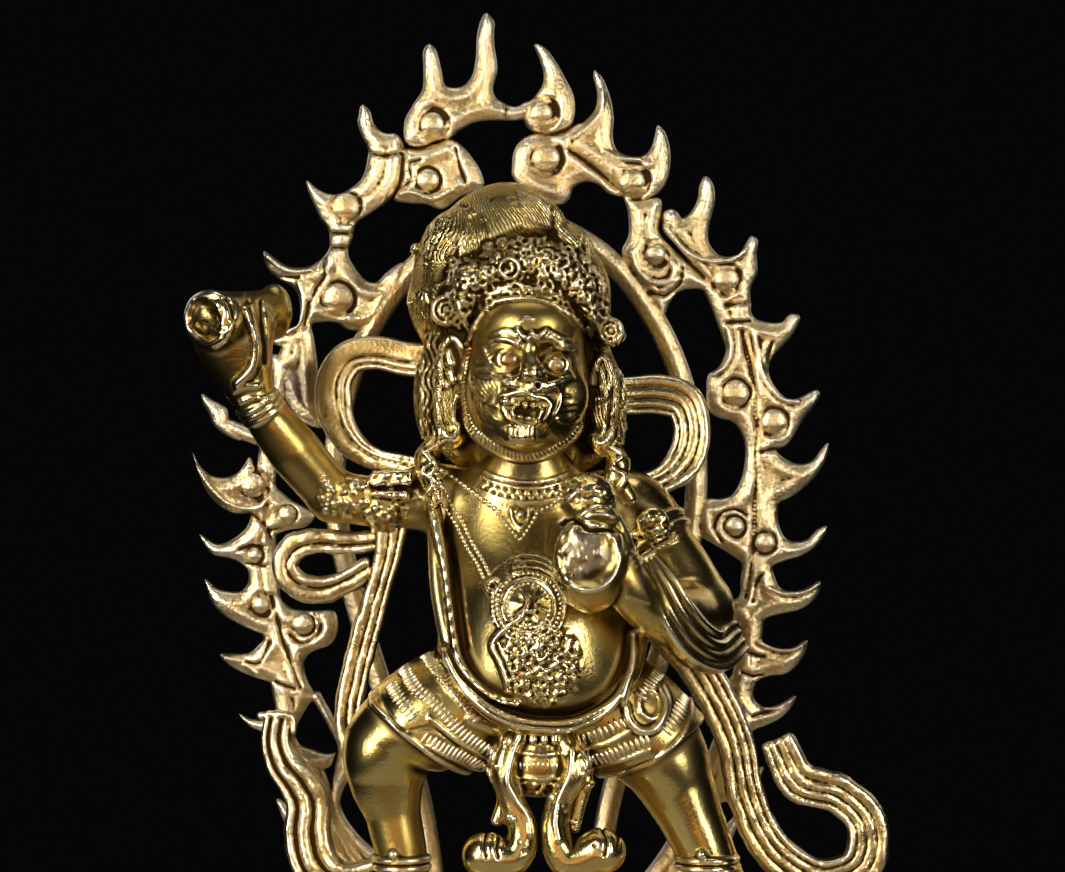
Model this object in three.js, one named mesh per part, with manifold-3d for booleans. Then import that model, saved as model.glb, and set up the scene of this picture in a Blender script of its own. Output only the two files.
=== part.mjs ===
// A gilt brass protector deity in three castings: the lunging figure with its scarf,
// the flaming aureole behind it, and the low lotus plinth that both stand on.
// Units are millimetres, +Z is up, the figure faces -Y and +X is to the viewer's right.
// The origin is the centre of the plinth's underside.

import * as THREE from 'three';
import * as BufferGeometryUtils from 'three/addons/utils/BufferGeometryUtils.js';
import Module from 'manifold-3d';

const wasm = await Module();
wasm.setup();

// Plinth: a double lotus, oval in plan
const PLINTH_HEIGHT = 26;
const PLINTH_HALF_LENGTH = 55;
const PLINTH_HALF_WIDTH = 27;
const PETALS = 20;
const COLUMNS_PER_PETAL = 3;
// Each level of the profile: height, how far it is set in, how far its petals stand out
const PLINTH_PROFILE = [
  [0, 0, 0],
  [2.8, 0, 0],
  [3.4, 3, 0.4],
  [7, 4.4, 2.2],
  [12.6, 9, 0.2],
  [18.6, 5.6, 2.2],
  [22.6, 4.6, 0.4],
  [23.4, 3.4, 0],
  [PLINTH_HEIGHT, 4.2, 0],
];

// Aureole: a pointed arch of band, flames outside it and scrolls between it and a ring
const ARCH_Y = 16;
const ARCH_X = -6.6;
const ARCH_SPRING_Z = 110;
const ARCH_HALF_WIDTH = 52.8;
const ARCH_RISE = 78;
const ARCH_DROP = 99;
const ARCH_POINTEDNESS = 1.75;
const ARCH_LOWEST_ANGLE = -1.03;
const ARCH_SAMPLES = 240;
const BAND_HALF_WIDTH = 2.9;
const BAND_HALF_DEPTH = 1.7;
const BAND_STEPS = 18;
const FLAME_ROOT_HALF_WIDTH = 5.4;
const FLAME_HALF_DEPTH = 1.8;
// A flame is ridged in front, thin at its edges and flatter behind
const FLAME_SECTION = [[1, 0], [0.3, 1], [-0.3, 1], [-1, 0], [0, -0.8]];
const LEAN_AT_TOP = 1.2;
const LEAN_AT_SIDES = 7;
const LEAN_FULL_AT = 90;
const APEX_FLAME_HEIGHT = 18.4;
// Flame tips down each side: distance along the band from its apex, and reach from it
const FLAMES = {
  right: [
    [4, 12.9], [13.2, 11.4], [27.3, 9.7], [40.1, 9.6], [54.2, 10.9], [70.5, 12.2],
    [85, 12.5], [96, 12.4], [110.1, 11.7], [121, 11.3], [132.8, 10.5], [144, 10.4],
  ],
  left: [
    [11, 16.2], [24.7, 13.3], [41.8, 11.2], [56.6, 10.6], [70.6, 12.4], [84.2, 12.8],
    [96.1, 13.1], [109.8, 11.2], [121, 11.1], [134, 10.1], [146, 9.2],
  ],
};
// Balls on the flame roots: distance along the band, and offset from it
const BALL_RADIUS = 2.4;
const BALLS = {
  right: [[6.2, -0.9], [30.4, -1.6], [58.8, 1], [89.2, 1.2], [112.8, 0]],
  left: [[16.7, 1.2], [41.4, 1.6], [102.1, 1.1], [126.1, 0.3]],
};
// Scroll pads between band and ring: distance along the band, offset, half the length
const PAD_HALF_WIDTH = 5.2;
const PAD_HALF_DEPTH = 1.5;
const PADS = {
  right: [[10.8, -9.6, 10.5], [46.9, -8.4, 8.5], [81.8, -7.2, 7.4], [109.9, -8.2, 8.2]],
  left: [[24.9, -8.6, 9.5], [58.6, -8.4, 8.2], [84, -7.6, 7.4], [107.4, -7.8, 8], [132.3, -8.6, 8.4]],
};
// Inner ring: half widths from its own axis at heights, foot to crown
const RING_X = -6;
const RING_HALF_STRIP = 2.3;
const RING_HALF_DEPTH = 1.1;
const RING_STEPS = 12;
const RING_LINE = [[16, 23], [20, 47], [30, 76], [37, 106], [35.5, 126], [29, 143], [18, 157], [0, 167]];

// Figure: the body, from head to feet
const HEAD = { centre: [-3, -9, 130.5], radii: [13.6, 13.5, 16.5] };
// Half widths and half depths of the head, chin to crown
const HEAD_LEVELS = [
  [-15.4, 6.2, 6], [-12.6, 10.4, 10], [-7, 12.9, 12.6], [1, 13.7, 13.5], [9, 12.2, 12], [14.6, 6.8, 6.6],
];
const HAIR = { centre: [-7.5, 1, 147], radii: [20.5, 12.5, 24], locks: 15, relief: 0.035 };
// The trunk's levels, hips to neck: height, middle across, half width, front and back
const TRUNK = [
  [56, 0, 17, -11, 8],
  [63, 0, 21.6, -19, 11.5],
  [70, -0.6, 21.4, -22.4, 12],
  [79, -1, 20.4, -23.2, 12],
  [88, -1.8, 19, -21.2, 12],
  [97, -3, 17.6, -15.4, 11.8],
  [105, -3.8, 17, -12, 10.6],
  [111.5, -4, 12, -11, 7.6],
  [117, -3.5, 7.6, -11, 4],
];
const EYE_Z = 132;
const EYE_SPREAD = 5.6;
const THIRD_EYE_Z = 138.5;
const NOSE_Z = 127.3;
const MOUTH_Z = 121.2;
const BEARD_Z = 116.6;
const BEARD_LOCKS = 5;

// Figure: the diadem, its florets set out round the front of the hair
const CROWN = { centre: [-4.2, -5], radii: [18.4, 14.6], z: 147, halfSweep: 1.7 };
const FLORETS = { count: 5, radius: 4.6, spread: 0.78, rise: 5.6, boss: 1.8 };

// Figure: skirt, legs and feet, the viewer's left first
const LEGS = [
  {
    line: [
      [-9, -2, 68], [-22, -7, 64.5], [-30.2, -9, 57], [-28.5, -7, 46], [-27.5, -6, 37], [-27.5, -4.5, 30],
    ],
    girth: [12, 11, 10.2, 7.8, 5.9, 5.6],
    toe: [-31.5, -17, 28.6],
  },
  {
    line: [[9, -2, 68], [18, -6, 62.5], [24.5, -7.5, 55], [31, -6, 44.5], [36, -5, 36], [38.5, -4, 30]],
    girth: [12, 11, 9.2, 7.2, 5.7, 5.6],
    toe: [49, -12.5, 28.6],
  },
];
const ANKLET_Z = 37;
const SOLE_CUT_DEPTH = 12;

// Figure: scarf, a fluted ribbon that loops behind the shoulders and ends beside the feet
const SCARF_HALF_WIDTH = 3.6;
const SCARF_HALF_DEPTH = 1.4;

// Flats and slivers smaller than this are merged when a casting is finished
const MESH_TOLERANCE = 0.37;

const FRONT = [0, -1, 0];
const UP = [0, 0, 1];

// Solids

function toSolid(geometry) {
  geometry.deleteAttribute('normal');
  geometry.deleteAttribute('uv');
  const merged = BufferGeometryUtils.mergeVertices(geometry, 1e-4);
  return new wasm.Manifold(new wasm.Mesh({
    numProp: 3,
    vertProperties: merged.attributes.position.array,
    triVerts: merged.index.array,
  }));
}

function joined(solids) {
  return solids.reduce((whole, solid) => whole.add(solid));
}

function toMesh(name, solid, material) {
  const { vertProperties, triVerts } = solid.asOriginal().simplify(MESH_TOLERANCE).getMesh();
  const geometry = new THREE.BufferGeometry();
  geometry.setAttribute('position', new THREE.BufferAttribute(vertProperties, 3));
  geometry.setIndex(new THREE.BufferAttribute(triVerts, 1));
  geometry.computeVertexNormals();
  const mesh = new THREE.Mesh(geometry, material);
  mesh.name = name;
  return mesh;
}

// A closed skin over a stack of equal rings, each end closed to its own pole
function skin(rings, firstPole, lastPole) {
  const count = rings[0].length;
  const points = [firstPole, ...rings.flat(), lastPole];
  const last = points.length - 1;
  const index = [];
  const at = (ring, i) => 1 + ring * count + (i % count);
  for (let i = 0; i < count; i += 1) {
    index.push(0, at(0, i + 1), at(0, i));
    index.push(last, at(rings.length - 1, i), at(rings.length - 1, i + 1));
    for (let ring = 0; ring + 1 < rings.length; ring += 1) {
      index.push(at(ring, i), at(ring, i + 1), at(ring + 1, i + 1));
      index.push(at(ring, i), at(ring + 1, i + 1), at(ring + 1, i));
    }
  }
  const geometry = new THREE.BufferGeometry().setFromPoints(points);
  geometry.setIndex(index);
  return toSolid(geometry);
}

function roundSection(sides) {
  const section = [];
  for (let i = 0; i < sides; i += 1) {
    const angle = (2 * Math.PI * i) / sides;
    section.push([Math.cos(angle), Math.sin(angle)]);
  }
  return section;
}

// A ribbon's section: a flat back, and rounded flutes across its front
function flutedSection(flutes) {
  const section = [[1, -1], [1, 0.4]];
  for (let i = 0; i < flutes; i += 1) {
    const crest = 1 - (2 * i + 1) / flutes;
    section.push([crest, 1]);
    if (i + 1 < flutes) {
      section.push([crest - 1 / flutes, 0.25]);
    }
  }
  section.push([-1, 0.4], [-1, -1]);
  return section;
}

// A section swept through points, its half width and half depth given at each of them.
// The section's own front keeps to the front given, and its ends are flat or domed.
function sweep(points, sizes, { steps, section = roundSection(7), front = FRONT, domed = false } = {}) {
  const line = new THREE.CatmullRomCurve3(points.map((point) => new THREE.Vector3(...point)));
  const pairs = sizes.map((size) => (Array.isArray(size) ? size : [size, size]));
  const gauge = new THREE.CatmullRomCurve3(
    pairs.map(([across, deep]) => new THREE.Vector3(across, deep, 0)), false, 'catmullrom', 0.5,
  );
  const facing = new THREE.Vector3(...front);
  const segments = steps ?? 2 * (points.length - 1);
  const ringAt = (u, scale, push) => {
    const along = line.getTangent(u);
    const deepAxis = facing.clone().addScaledVector(along, -facing.dot(along)).normalize();
    const acrossAxis = deepAxis.clone().cross(along);
    const size = gauge.getPoint(u);
    const middle = line.getPoint(u).addScaledVector(along, push * Math.min(size.x, size.y));
    return section.map(([across, deep]) => middle.clone()
      .addScaledVector(acrossAxis, across * size.x * scale)
      .addScaledVector(deepAxis, deep * size.y * scale));
  };
  const poleAt = (u, push) => {
    const size = gauge.getPoint(u);
    return line.getPoint(u).addScaledVector(line.getTangent(u), push * Math.min(size.x, size.y));
  };
  const rings = [];
  if (domed) {
    rings.push(ringAt(0, 0.72, -0.6));
  }
  for (let i = 0; i <= segments; i += 1) {
    rings.push(ringAt(i / segments, 1, 0));
  }
  if (domed) {
    rings.push(ringAt(1, 0.72, 0.6));
  }
  const reach = domed ? 0.95 : 0;
  return skin(rings, poleAt(0, -reach), poleAt(1, reach));
}

function ellipsoid(centre, radii, { around = 12, rows = 7, turn = [0, 0, 0] } = {}) {
  const geometry = new THREE.SphereGeometry(1, around, rows);
  geometry.rotateX(Math.PI / 2);
  geometry.scale(...radii);
  geometry.applyMatrix4(new THREE.Matrix4().makeRotationFromEuler(new THREE.Euler(...turn)));
  geometry.translate(...centre);
  return toSolid(geometry);
}

function hoop(centre, radius, thickness, { normal = FRONT, squash = 1, sides = 4, around = 9 } = {}) {
  const geometry = new THREE.TorusGeometry(radius, thickness, sides, around);
  geometry.scale(1, squash, 1);
  const aim = new THREE.Vector3(...normal).normalize();
  const swing = new THREE.Quaternion().setFromUnitVectors(new THREE.Vector3(0, 0, 1), aim);
  geometry.applyQuaternion(swing);
  geometry.translate(...centre);
  return toSolid(geometry);
}

// A plain round band about a limb
function collar(centre, axis, radius, halfLength = 1.2) {
  const middle = new THREE.Vector3(...centre);
  const along = new THREE.Vector3(...axis).normalize();
  const ends = [-halfLength, halfLength].map((step) => middle.clone().addScaledVector(along, step).toArray());
  return sweep(ends, [radius, radius], { section: roundSection(8), steps: 1 });
}

// The point on an ellipsoid's front at (x, z), lifted off its surface
function frontOf(form, x, z, lift = 0) {
  const across = (x - form.centre[0]) / form.radii[0];
  const up = (z - form.centre[2]) / form.radii[2];
  const deep = Math.sqrt(Math.max(0.02, 1 - across * across - up * up));
  return [x, form.centre[1] - form.radii[1] * deep - lift, z];
}

function mirroredSides(make) {
  return [-1, 1].flatMap((side) => make(side));
}

// Plinth

function lotusPlinth() {
  const columns = PETALS * COLUMNS_PER_PETAL;
  const start = -Math.PI / 2;
  const plan = new THREE.EllipseCurve(
    0, 0, PLINTH_HALF_LENGTH, PLINTH_HALF_WIDTH, start, start + 2 * Math.PI,
  );
  const rim = plan.getSpacedPoints(columns).slice(0, columns);
  const rings = PLINTH_PROFILE.map(([z, inset, petal]) => rim.map((point, i) => {
    const outward = new THREE.Vector2(
      point.x / PLINTH_HALF_LENGTH ** 2, point.y / PLINTH_HALF_WIDTH ** 2,
    ).normalize();
    const crest = i % COLUMNS_PER_PETAL === 0 ? 0 : petal;
    const offset = crest - inset;
    return new THREE.Vector3(point.x + outward.x * offset, point.y + outward.y * offset, z);
  }));
  return skin(rings, new THREE.Vector3(0, 0, 0), new THREE.Vector3(0, 0, PLINTH_HEIGHT));
}

// Aureole

function archLine(side) {
  const points = [];
  for (let i = 0; i <= ARCH_SAMPLES; i += 1) {
    const angle = THREE.MathUtils.lerp(Math.PI / 2, ARCH_LOWEST_ANGLE, i / ARCH_SAMPLES);
    const across = Math.max(0, Math.cos(angle));
    const up = Math.sin(angle);
    const power = 2 / ARCH_POINTEDNESS;
    points.push(up >= 0
      ? new THREE.Vector2(
        ARCH_X + side * ARCH_HALF_WIDTH * across ** power, ARCH_SPRING_Z + ARCH_RISE * up ** power,
      )
      : new THREE.Vector2(ARCH_X + side * ARCH_HALF_WIDTH * across, ARCH_SPRING_Z + ARCH_DROP * up));
  }
  return points;
}

const ARCH_LINES = { left: archLine(-1), right: archLine(1) };

// The point beside the arch at a distance down one side of it and an offset outwards
function besideArch(sideName, distance, offset, y = ARCH_Y) {
  const line = ARCH_LINES[sideName];
  const side = sideName === 'right' ? 1 : -1;
  let walked = 0;
  let i = 1;
  while (i + 1 < line.length && walked + line[i].distanceTo(line[i - 1]) < distance) {
    walked += line[i].distanceTo(line[i - 1]);
    i += 1;
  }
  const along = line[i].clone().sub(line[i - 1]).normalize();
  const point = line[i - 1].clone().addScaledVector(along, distance - walked);
  const outward = new THREE.Vector2(-along.y * side, along.x * side);
  point.addScaledVector(outward, offset);
  return [point.x, y, point.y];
}

function band() {
  return ['left', 'right'].map((sideName) => {
    const line = ARCH_LINES[sideName];
    const points = [];
    for (let i = 0; i <= BAND_STEPS; i += 1) {
      const point = line[Math.round((i * (line.length - 1)) / BAND_STEPS)];
      points.push([point.x, ARCH_Y, point.y]);
    }
    const sizes = points.map(() => [BAND_HALF_WIDTH, BAND_HALF_DEPTH]);
    const section = [[1, -1], [1, 0.3], [0, 1], [-1, 0.3], [-1, -1]];
    return sweep(points, sizes, { steps: BAND_STEPS, section });
  });
}

// One flame: its root spreads into the band, and its tip hooks up towards the apex
function flame(sideName, tipDistance, reach) {
  const share = Math.min(1, tipDistance / LEAN_FULL_AT);
  const lean = THREE.MathUtils.lerp(LEAN_AT_TOP, LEAN_AT_SIDES, share);
  const points = [
    besideArch(sideName, tipDistance + lean, -0.5),
    besideArch(sideName, tipDistance + lean * 0.95, reach * 0.3),
    besideArch(sideName, tipDistance + lean * 0.62, reach * 0.66),
    besideArch(sideName, tipDistance, reach),
  ];
  const root = FLAME_ROOT_HALF_WIDTH;
  const deep = FLAME_HALF_DEPTH;
  const sizes = [[root, deep], [root * 0.8, deep], [root * 0.48, deep * 0.85], [0.8, deep * 0.45]];
  return sweep(points, sizes, { steps: 4, section: FLAME_SECTION });
}

function apexFlame() {
  const [x, y, z] = besideArch('right', 0, 0);
  const points = [[x - 3, y, z - 1], [x - 3.6, y, z + 6], [x - 4.4, y, z + APEX_FLAME_HEIGHT]];
  return sweep(points, [[6, FLAME_HALF_DEPTH], [3, 1.7], [1.5, 1]], { steps: 4, section: FLAME_SECTION });
}

function ball(sideName, distance, offset) {
  const centre = besideArch(sideName, distance, offset, ARCH_Y - BAND_HALF_DEPTH - 0.2);
  return ellipsoid(centre, [BALL_RADIUS, 1.5, BALL_RADIUS], { around: 5, rows: 3 });
}

// One scroll pad: a flat leaf laid from the band to the ring, with a ball at its middle
function pad(sideName, distance, offset, halfLength) {
  const points = [-1, 0, 1].map((end) => besideArch(sideName, distance, offset + end * halfLength));
  const sizes = [[2.6, PAD_HALF_DEPTH], [PAD_HALF_WIDTH, PAD_HALF_DEPTH], [3.4, PAD_HALF_DEPTH]];
  const section = [[1, -1], [0.7, 1], [-0.7, 1], [-1, -1]];
  return [sweep(points, sizes, { steps: 4, section }), ball(sideName, distance, offset + 0.5)];
}

function innerRing() {
  return mirroredSides((side) => {
    const points = RING_LINE.map(([halfWidth, z]) => [RING_X + side * halfWidth, ARCH_Y, z]);
    const sizes = points.map(() => [RING_HALF_STRIP, RING_HALF_DEPTH]);
    const section = [[1, -1], [1, 1], [-1, 1], [-1, -1]];
    return sweep(points, sizes, { steps: RING_STEPS, section });
  });
}

function aureole() {
  const pieces = [...band(), ...innerRing(), apexFlame()];
  for (const sideName of ['left', 'right']) {
    FLAMES[sideName].forEach(([tip, reach]) => pieces.push(flame(sideName, tip, reach)));
    BALLS[sideName].forEach(([distance, offset]) => pieces.push(ball(sideName, distance, offset)));
    PADS[sideName].forEach((place) => pieces.push(...pad(sideName, ...place)));
  }
  return joined(pieces).subtract(underPlinthTop());
}

// Everything below the plinth's top, for trimming what stands on it
function underPlinthTop() {
  const box = new THREE.BoxGeometry(300, 200, SOLE_CUT_DEPTH);
  box.translate(0, 0, PLINTH_HEIGHT - SOLE_CUT_DEPTH / 2);
  return toSolid(box);
}

// Figure: head, hair and diadem

// The hair is a dome combed up into locks, which run from its hem to its crown
function hair() {
  const rows = 7;
  const around = HAIR.locks * 2;
  const rings = [];
  for (let row = 1; row < rows; row += 1) {
    const polar = (Math.PI * row) / rows;
    const ring = [];
    for (let i = 0; i < around; i += 1) {
      const angle = (2 * Math.PI * i) / around;
      const swell = 1 + HAIR.relief * (i % 2 === 0 ? 1 : -1);
      ring.push(new THREE.Vector3(
        HAIR.centre[0] + HAIR.radii[0] * swell * Math.sin(polar) * Math.cos(angle),
        HAIR.centre[1] + HAIR.radii[1] * swell * Math.sin(polar) * Math.sin(angle),
        HAIR.centre[2] - HAIR.radii[2] * Math.cos(polar),
      ));
    }
    rings.push(ring);
  }
  const [x, y, z] = HAIR.centre;
  return skin(rings, new THREE.Vector3(x, y, z - HAIR.radii[2]), new THREE.Vector3(x, y, z + HAIR.radii[2]));
}

function face() {
  const [middle, depth, height] = HEAD.centre;
  const line = HEAD_LEVELS.map(([rise]) => [middle, depth, height + rise]);
  const sizes = HEAD_LEVELS.map(([, halfWidth, halfDepth]) => [halfWidth, halfDepth]);
  const pieces = [sweep(line, sizes, { section: roundSection(14), steps: 7 })];
  pieces.push(...mirroredSides((side) => {
    const eyeX = middle + side * EYE_SPREAD;
    const brow = [
      frontOf(HEAD, middle + side * 1.6, EYE_Z + 3.2, 0.4),
      frontOf(HEAD, eyeX, EYE_Z + 4.8, 0.6),
      frontOf(HEAD, middle + side * 10, EYE_Z + 5.4, 0.2),
    ];
    const moustache = [
      frontOf(HEAD, middle + side * 0.6, NOSE_Z - 3, 0.5),
      frontOf(HEAD, middle + side * 5, NOSE_Z - 3.4, 0.6),
      frontOf(HEAD, middle + side * 9, NOSE_Z - 0.6, 0.2),
    ];
    const round = { section: roundSection(4), steps: 2 };
    return [
      ellipsoid(frontOf(HEAD, eyeX, EYE_Z, -0.4), [2.7, 2, 2], { around: 6, rows: 4 }),
      sweep(brow, [0.9, 1.2, 0.5], round),
      sweep(moustache, [1, 1.2, 0.6], round),
      ellipsoid(frontOf(HEAD, middle + side * 1.7, NOSE_Z, 0), [1.4, 1.6, 1.2], { around: 5, rows: 3 }),
    ];
  }));
  const nose = [frontOf(HEAD, middle, EYE_Z + 2, -0.6), frontOf(HEAD, middle, NOSE_Z, 1.1)];
  pieces.push(sweep(nose, [1, 1.9], { section: roundSection(5), steps: 1 }));
  pieces.push(ellipsoid(frontOf(HEAD, middle, THIRD_EYE_Z, -0.4), [1.3, 1.5, 2.1], { around: 5, rows: 4 }));
  const lips = hoop(frontOf(HEAD, middle, MOUTH_Z, 0.4), 3.4, 1, { squash: 0.62, around: 7, sides: 3 });
  pieces.push(lips);
  for (let i = 0; i < BEARD_LOCKS; i += 1) {
    const x = middle + (i - (BEARD_LOCKS - 1) / 2) * 1.3;
    const lock = [frontOf(HEAD, x, BEARD_Z + 2.4, 1), frontOf(HEAD, x, BEARD_Z + 0.6, 2.8)];
    pieces.push(sweep(lock, [0.75, 0.5], { section: roundSection(3), steps: 1 }));
  }
  return pieces;
}

function ears() {
  const [middle, y, z] = HEAD.centre;
  return mirroredSides((side) => {
    const x = middle + side * (HEAD.radii[0] + 1.6);
    const drop = [[x, y + 2, z - 8], [x + side * 1.2, y + 1, z - 13], [x + side * 2.4, y + 1.5, z - 19]];
    return [
      ellipsoid([x, y + 2.5, z - 0.5], [2.4, 2.6, 8.6], { around: 6, rows: 5 }),
      hoop([x + side * 0.4, y + 0.6, z - 8.4], 3.3, 0.9, { around: 8, sides: 3 }),
      sweep(drop, [1.2, 1.7, 1.1], { section: roundSection(4), steps: 2 }),
    ];
  });
}

// The point on the diadem's line at an angle from straight ahead, positive to the right
function onCrown(angle, out, z) {
  return [
    CROWN.centre[0] + (CROWN.radii[0] + out) * Math.sin(angle),
    CROWN.centre[1] - (CROWN.radii[1] + out) * Math.cos(angle),
    z,
  ];
}

function diadem() {
  const line = [-1, -0.75, -0.5, -0.25, 0, 0.25, 0.5, 0.75, 1].map((share) => {
    const angle = share * CROWN.halfSweep;
    return onCrown(angle, -0.6, CROWN.z - 1.8 + 1.2 * Math.cos(angle));
  });
  const hoopSizes = line.map(() => [1.5, 1.3]);
  const pieces = [sweep(line, hoopSizes, { front: UP, section: roundSection(4), steps: 10 })];
  const { count, radius, spread, boss } = FLORETS;
  for (let i = 0; i < count; i += 1) {
    const rank = i - (count - 1) / 2;
    const angle = rank * spread;
    const z = CROWN.z + FLORETS.rise - 1.5 * Math.abs(rank);
    const leaf = onCrown(angle, -0.8 - 0.4 * Math.abs(rank), z);
    const turn = [0, 0, angle];
    pieces.push(ellipsoid(leaf, [radius, 2, radius + 0.8], { around: 6, rows: 5, turn }));
    pieces.push(ellipsoid(onCrown(angle, 1, z), [boss, 1.6, boss], { around: 5, rows: 3 }));
  }
  return pieces;
}

// Figure: trunk and ornaments

function trunk() {
  const line = TRUNK.map(([z, x, , front, back]) => [x, (front + back) / 2, z]);
  const sizes = TRUNK.map(([, , halfWidth, front, back]) => [halfWidth, (back - front) / 2]);
  return [sweep(line, sizes, { section: roundSection(14), steps: 10 })];
}

// The point on the trunk's front at (x, z), lifted off its surface
function onTrunk(x, z, lift = 0) {
  const upper = Math.max(1, TRUNK.findIndex(([height]) => height >= z));
  const [low, high] = [TRUNK[upper - 1], TRUNK[upper]];
  const share = (z - low[0]) / (high[0] - low[0]);
  const level = low.map((value, i) => THREE.MathUtils.lerp(value, high[i], share));
  const [, middle, halfWidth, front, back] = level;
  const across = (x - middle) / halfWidth;
  const deep = Math.sqrt(Math.max(0.02, 1 - across * across)) * ((back - front) / 2);
  return [x, (front + back) / 2 - deep - lift, z];
}

function ornaments() {
  const necklace = (half, sag) => [-1, -0.5, 0, 0.5, 1].map((share) => onTrunk(
    TRUNK[7][1] + share * half, 111 - sag * Math.cos((share * Math.PI) / 2), 0.2,
  ));
  const cord = { section: roundSection(4), steps: 6 };
  const garland = [
    [-22, -5, 110], [-21.5, -10, 99], [-20.6, -14, 88], [-17, -18.5, 75], [-10.5, -21.6, 66.6],
    [-1, -22.4, 63.6], [9.6, -21, 66.4], [16.4, -17.4, 73], [19, -13, 82],
  ];
  return [
    sweep(necklace(10, 3), [1.2, 1.3, 1.4, 1.3, 1.2], cord),
    sweep(necklace(12, 8), [0.9, 1, 1.6, 1, 0.9], cord),
    sweep(garland, garland.map(() => 1.7), { section: roundSection(4), steps: 12 }),
    hoop(onTrunk(-2.6, 87), 4.6, 1.2),
    ellipsoid(onTrunk(-2.6, 87), [2, 1.4, 2], { around: 5, rows: 3 }),
    ellipsoid(onTrunk(-3, 75), [7.5, 1.6, 5], { around: 7, rows: 4, turn: [0.1, 0, 0] }),
  ];
}

// Figure: arms, the viewer's left raised with a sceptre and the other with a bell

function raisedArm() {
  const upper = [[-12, 0, 105], [-23.4, 0, 107.4], [-32, -1.2, 106.6], [-42, -4, 107.8]];
  const fore = [
    [-42, -4, 107.8], [-50, -8.4, 117.4], [-56.4, -12, 126.4], [-58.6, -12.8, 131], [-60.6, -14, 138],
    [-61, -14.4, 143.6],
  ];
  const ringCentre = [-64.6, -19.4, 142.2];
  const sceptre = [ringCentre, [-60, -14.5, 143], [-54.6, -8.4, 144.2]];
  const aim = [-0.62, -0.78, -0.1];
  return [
    sweep(upper, [7.4, 7.2, 5, 5], { steps: 5 }),
    sweep(fore, [5, 5.7, [4.3, 4], [5.6, 4.6], [8.2, 5.6], [8.8, 6]], { steps: 8, domed: true }),
    sweep(sceptre, [5.2, 5, 4.4], { front: UP, steps: 3 }),
    collar([-65.4, -20.4, 142.1], aim, 5.9),
    ellipsoid([-66.4, -21.4, 141.9], [3.6, 3, 3.4], { around: 6, rows: 5 }),
    ellipsoid([-53.6, -7.4, 144.3], [3.6, 3.8, 5.6], { around: 6, rows: 6 }),
    collar([-55.8, -11.6, 125.4], [-0.5, -0.28, 0.82], 5.6, 1.6),
    collar([-32.4, -1.2, 106.6], [1, 0.1, 0], 6.2, 2),
    ellipsoid([-32.4, -6.2, 105.6], [3.6, 2, 3.6], { around: 6, rows: 5 }),
  ];
}

function bellArm() {
  const upper = [[8, 1, 105], [17, 0, 105.4], [24, -3, 97], [30, -6, 86]];
  const fore = [[30, -6, 85.4], [25.6, -16, 84.6], [18.2, -24, 88.3], [15, -26.6, 92.6], [12.6, -26.4, 99]];
  const drape = [
    [19.4, -21, 97.4], [22.8, -20.6, 90.6], [26, -19, 84.4], [29.9, -15.6, 79.6], [35, -10, 77.6],
    [38, -4, 80.4],
  ];
  const bell = ellipsoid([8.6, -28.6, 96.2], [6.4, 6, 8.2], { around: 10, rows: 7, turn: [0.2, -0.25, 0] });
  const mouth = ellipsoid([7.2, -35, 98], [4.8, 5, 4.6], { around: 8, rows: 5 });
  return [
    sweep(upper, [7.4, 7.6, 6.4, 7.2], { steps: 6 }),
    sweep(fore, [7, 6.2, 4.8, 4.4, 3.8], { steps: 6 }),
    bell.subtract(mouth),
    collar([9.8, -28, 104.6], [0, 0.1, 1], 4.8),
    ellipsoid([10.6, -27, 107.6], [2.8, 2.8, 4], { around: 6, rows: 5 }),
    sweep(drape, [[3, 1.6], [4.2, 1.7], [4.8, 1.8], [4.8, 1.8], [4.4, 1.8], [3, 1.6]], {
      section: flutedSection(3), front: [0.5, -0.8, 0.2], steps: 6,
    }),
    collar([21.6, -2, 100], [0.5, -0.2, -0.8], 7.8, 1.6),
    ellipsoid([22.4, -8.8, 99.4], [3.8, 2, 3.8], { around: 6, rows: 5 }),
  ];
}

// Figure: skirt, legs and tails

function skirt() {
  const covers = [
    [[-5, -3, 68], [-20, -7, 65.4], [-29, -8, 61]],
    [[5, -3, 68], [15, -6, 64.4], [21.6, -7, 59.4]],
  ];
  const pieces = covers.map((line) => sweep(line, [14, 13, 10.8], {
    section: roundSection(10), steps: 4,
  }));
  pieces.push(ellipsoid([-1, -9, 60], [13, 8.4, 11.4], { around: 10, rows: 7 }));
  return pieces;
}

function legs() {
  return LEGS.flatMap(({ line, girth, toe }) => {
    const heel = line[line.length - 1];
    const shin = new THREE.Vector3(...line[4]).sub(new THREE.Vector3(...line[3])).normalize();
    const sole = [[heel[0], heel[1] + 3, 29.6], [heel[0], heel[1], 29.4], toe];
    return [
      sweep(line, girth, { section: roundSection(9), steps: 8 }),
      sweep(sole, [[4.6, 4.4], [5, 4.6], [5.4, 3]], { front: UP, steps: 3, domed: true }),
      collar([line[4][0], line[4][1], ANKLET_Z - 0.6], shin.toArray(), girth[4] + 1.1),
    ];
  });
}

// The two front tails hang from the belt and curl outwards into paws
function tails() {
  const y = -19.6;
  const lines = [
    [[-4.5, y + 2, 62.5], [-7.8, y, 57.1], [-6.5, y, 49.3], [-4.3, y, 43], [-6.2, y, 38.4], [-11.4, y, 38.6]],
    [[2.8, y + 2, 62.5], [5.7, y, 55.2], [2.8, y, 49.3], [1.9, y, 42.4], [4.4, y, 37.6], [10.8, y, 39.4]],
  ];
  return lines.flatMap((line) => {
    const paw = line[line.length - 1];
    return [
      sweep(line, [2.2, 2.5, 2.5, 2.9, 3.6, 4], { section: roundSection(5), steps: 8 }),
      ellipsoid(paw, [4.8, 4, 4.6], { around: 7, rows: 5 }),
    ];
  });
}

// Figure: scarf

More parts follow.
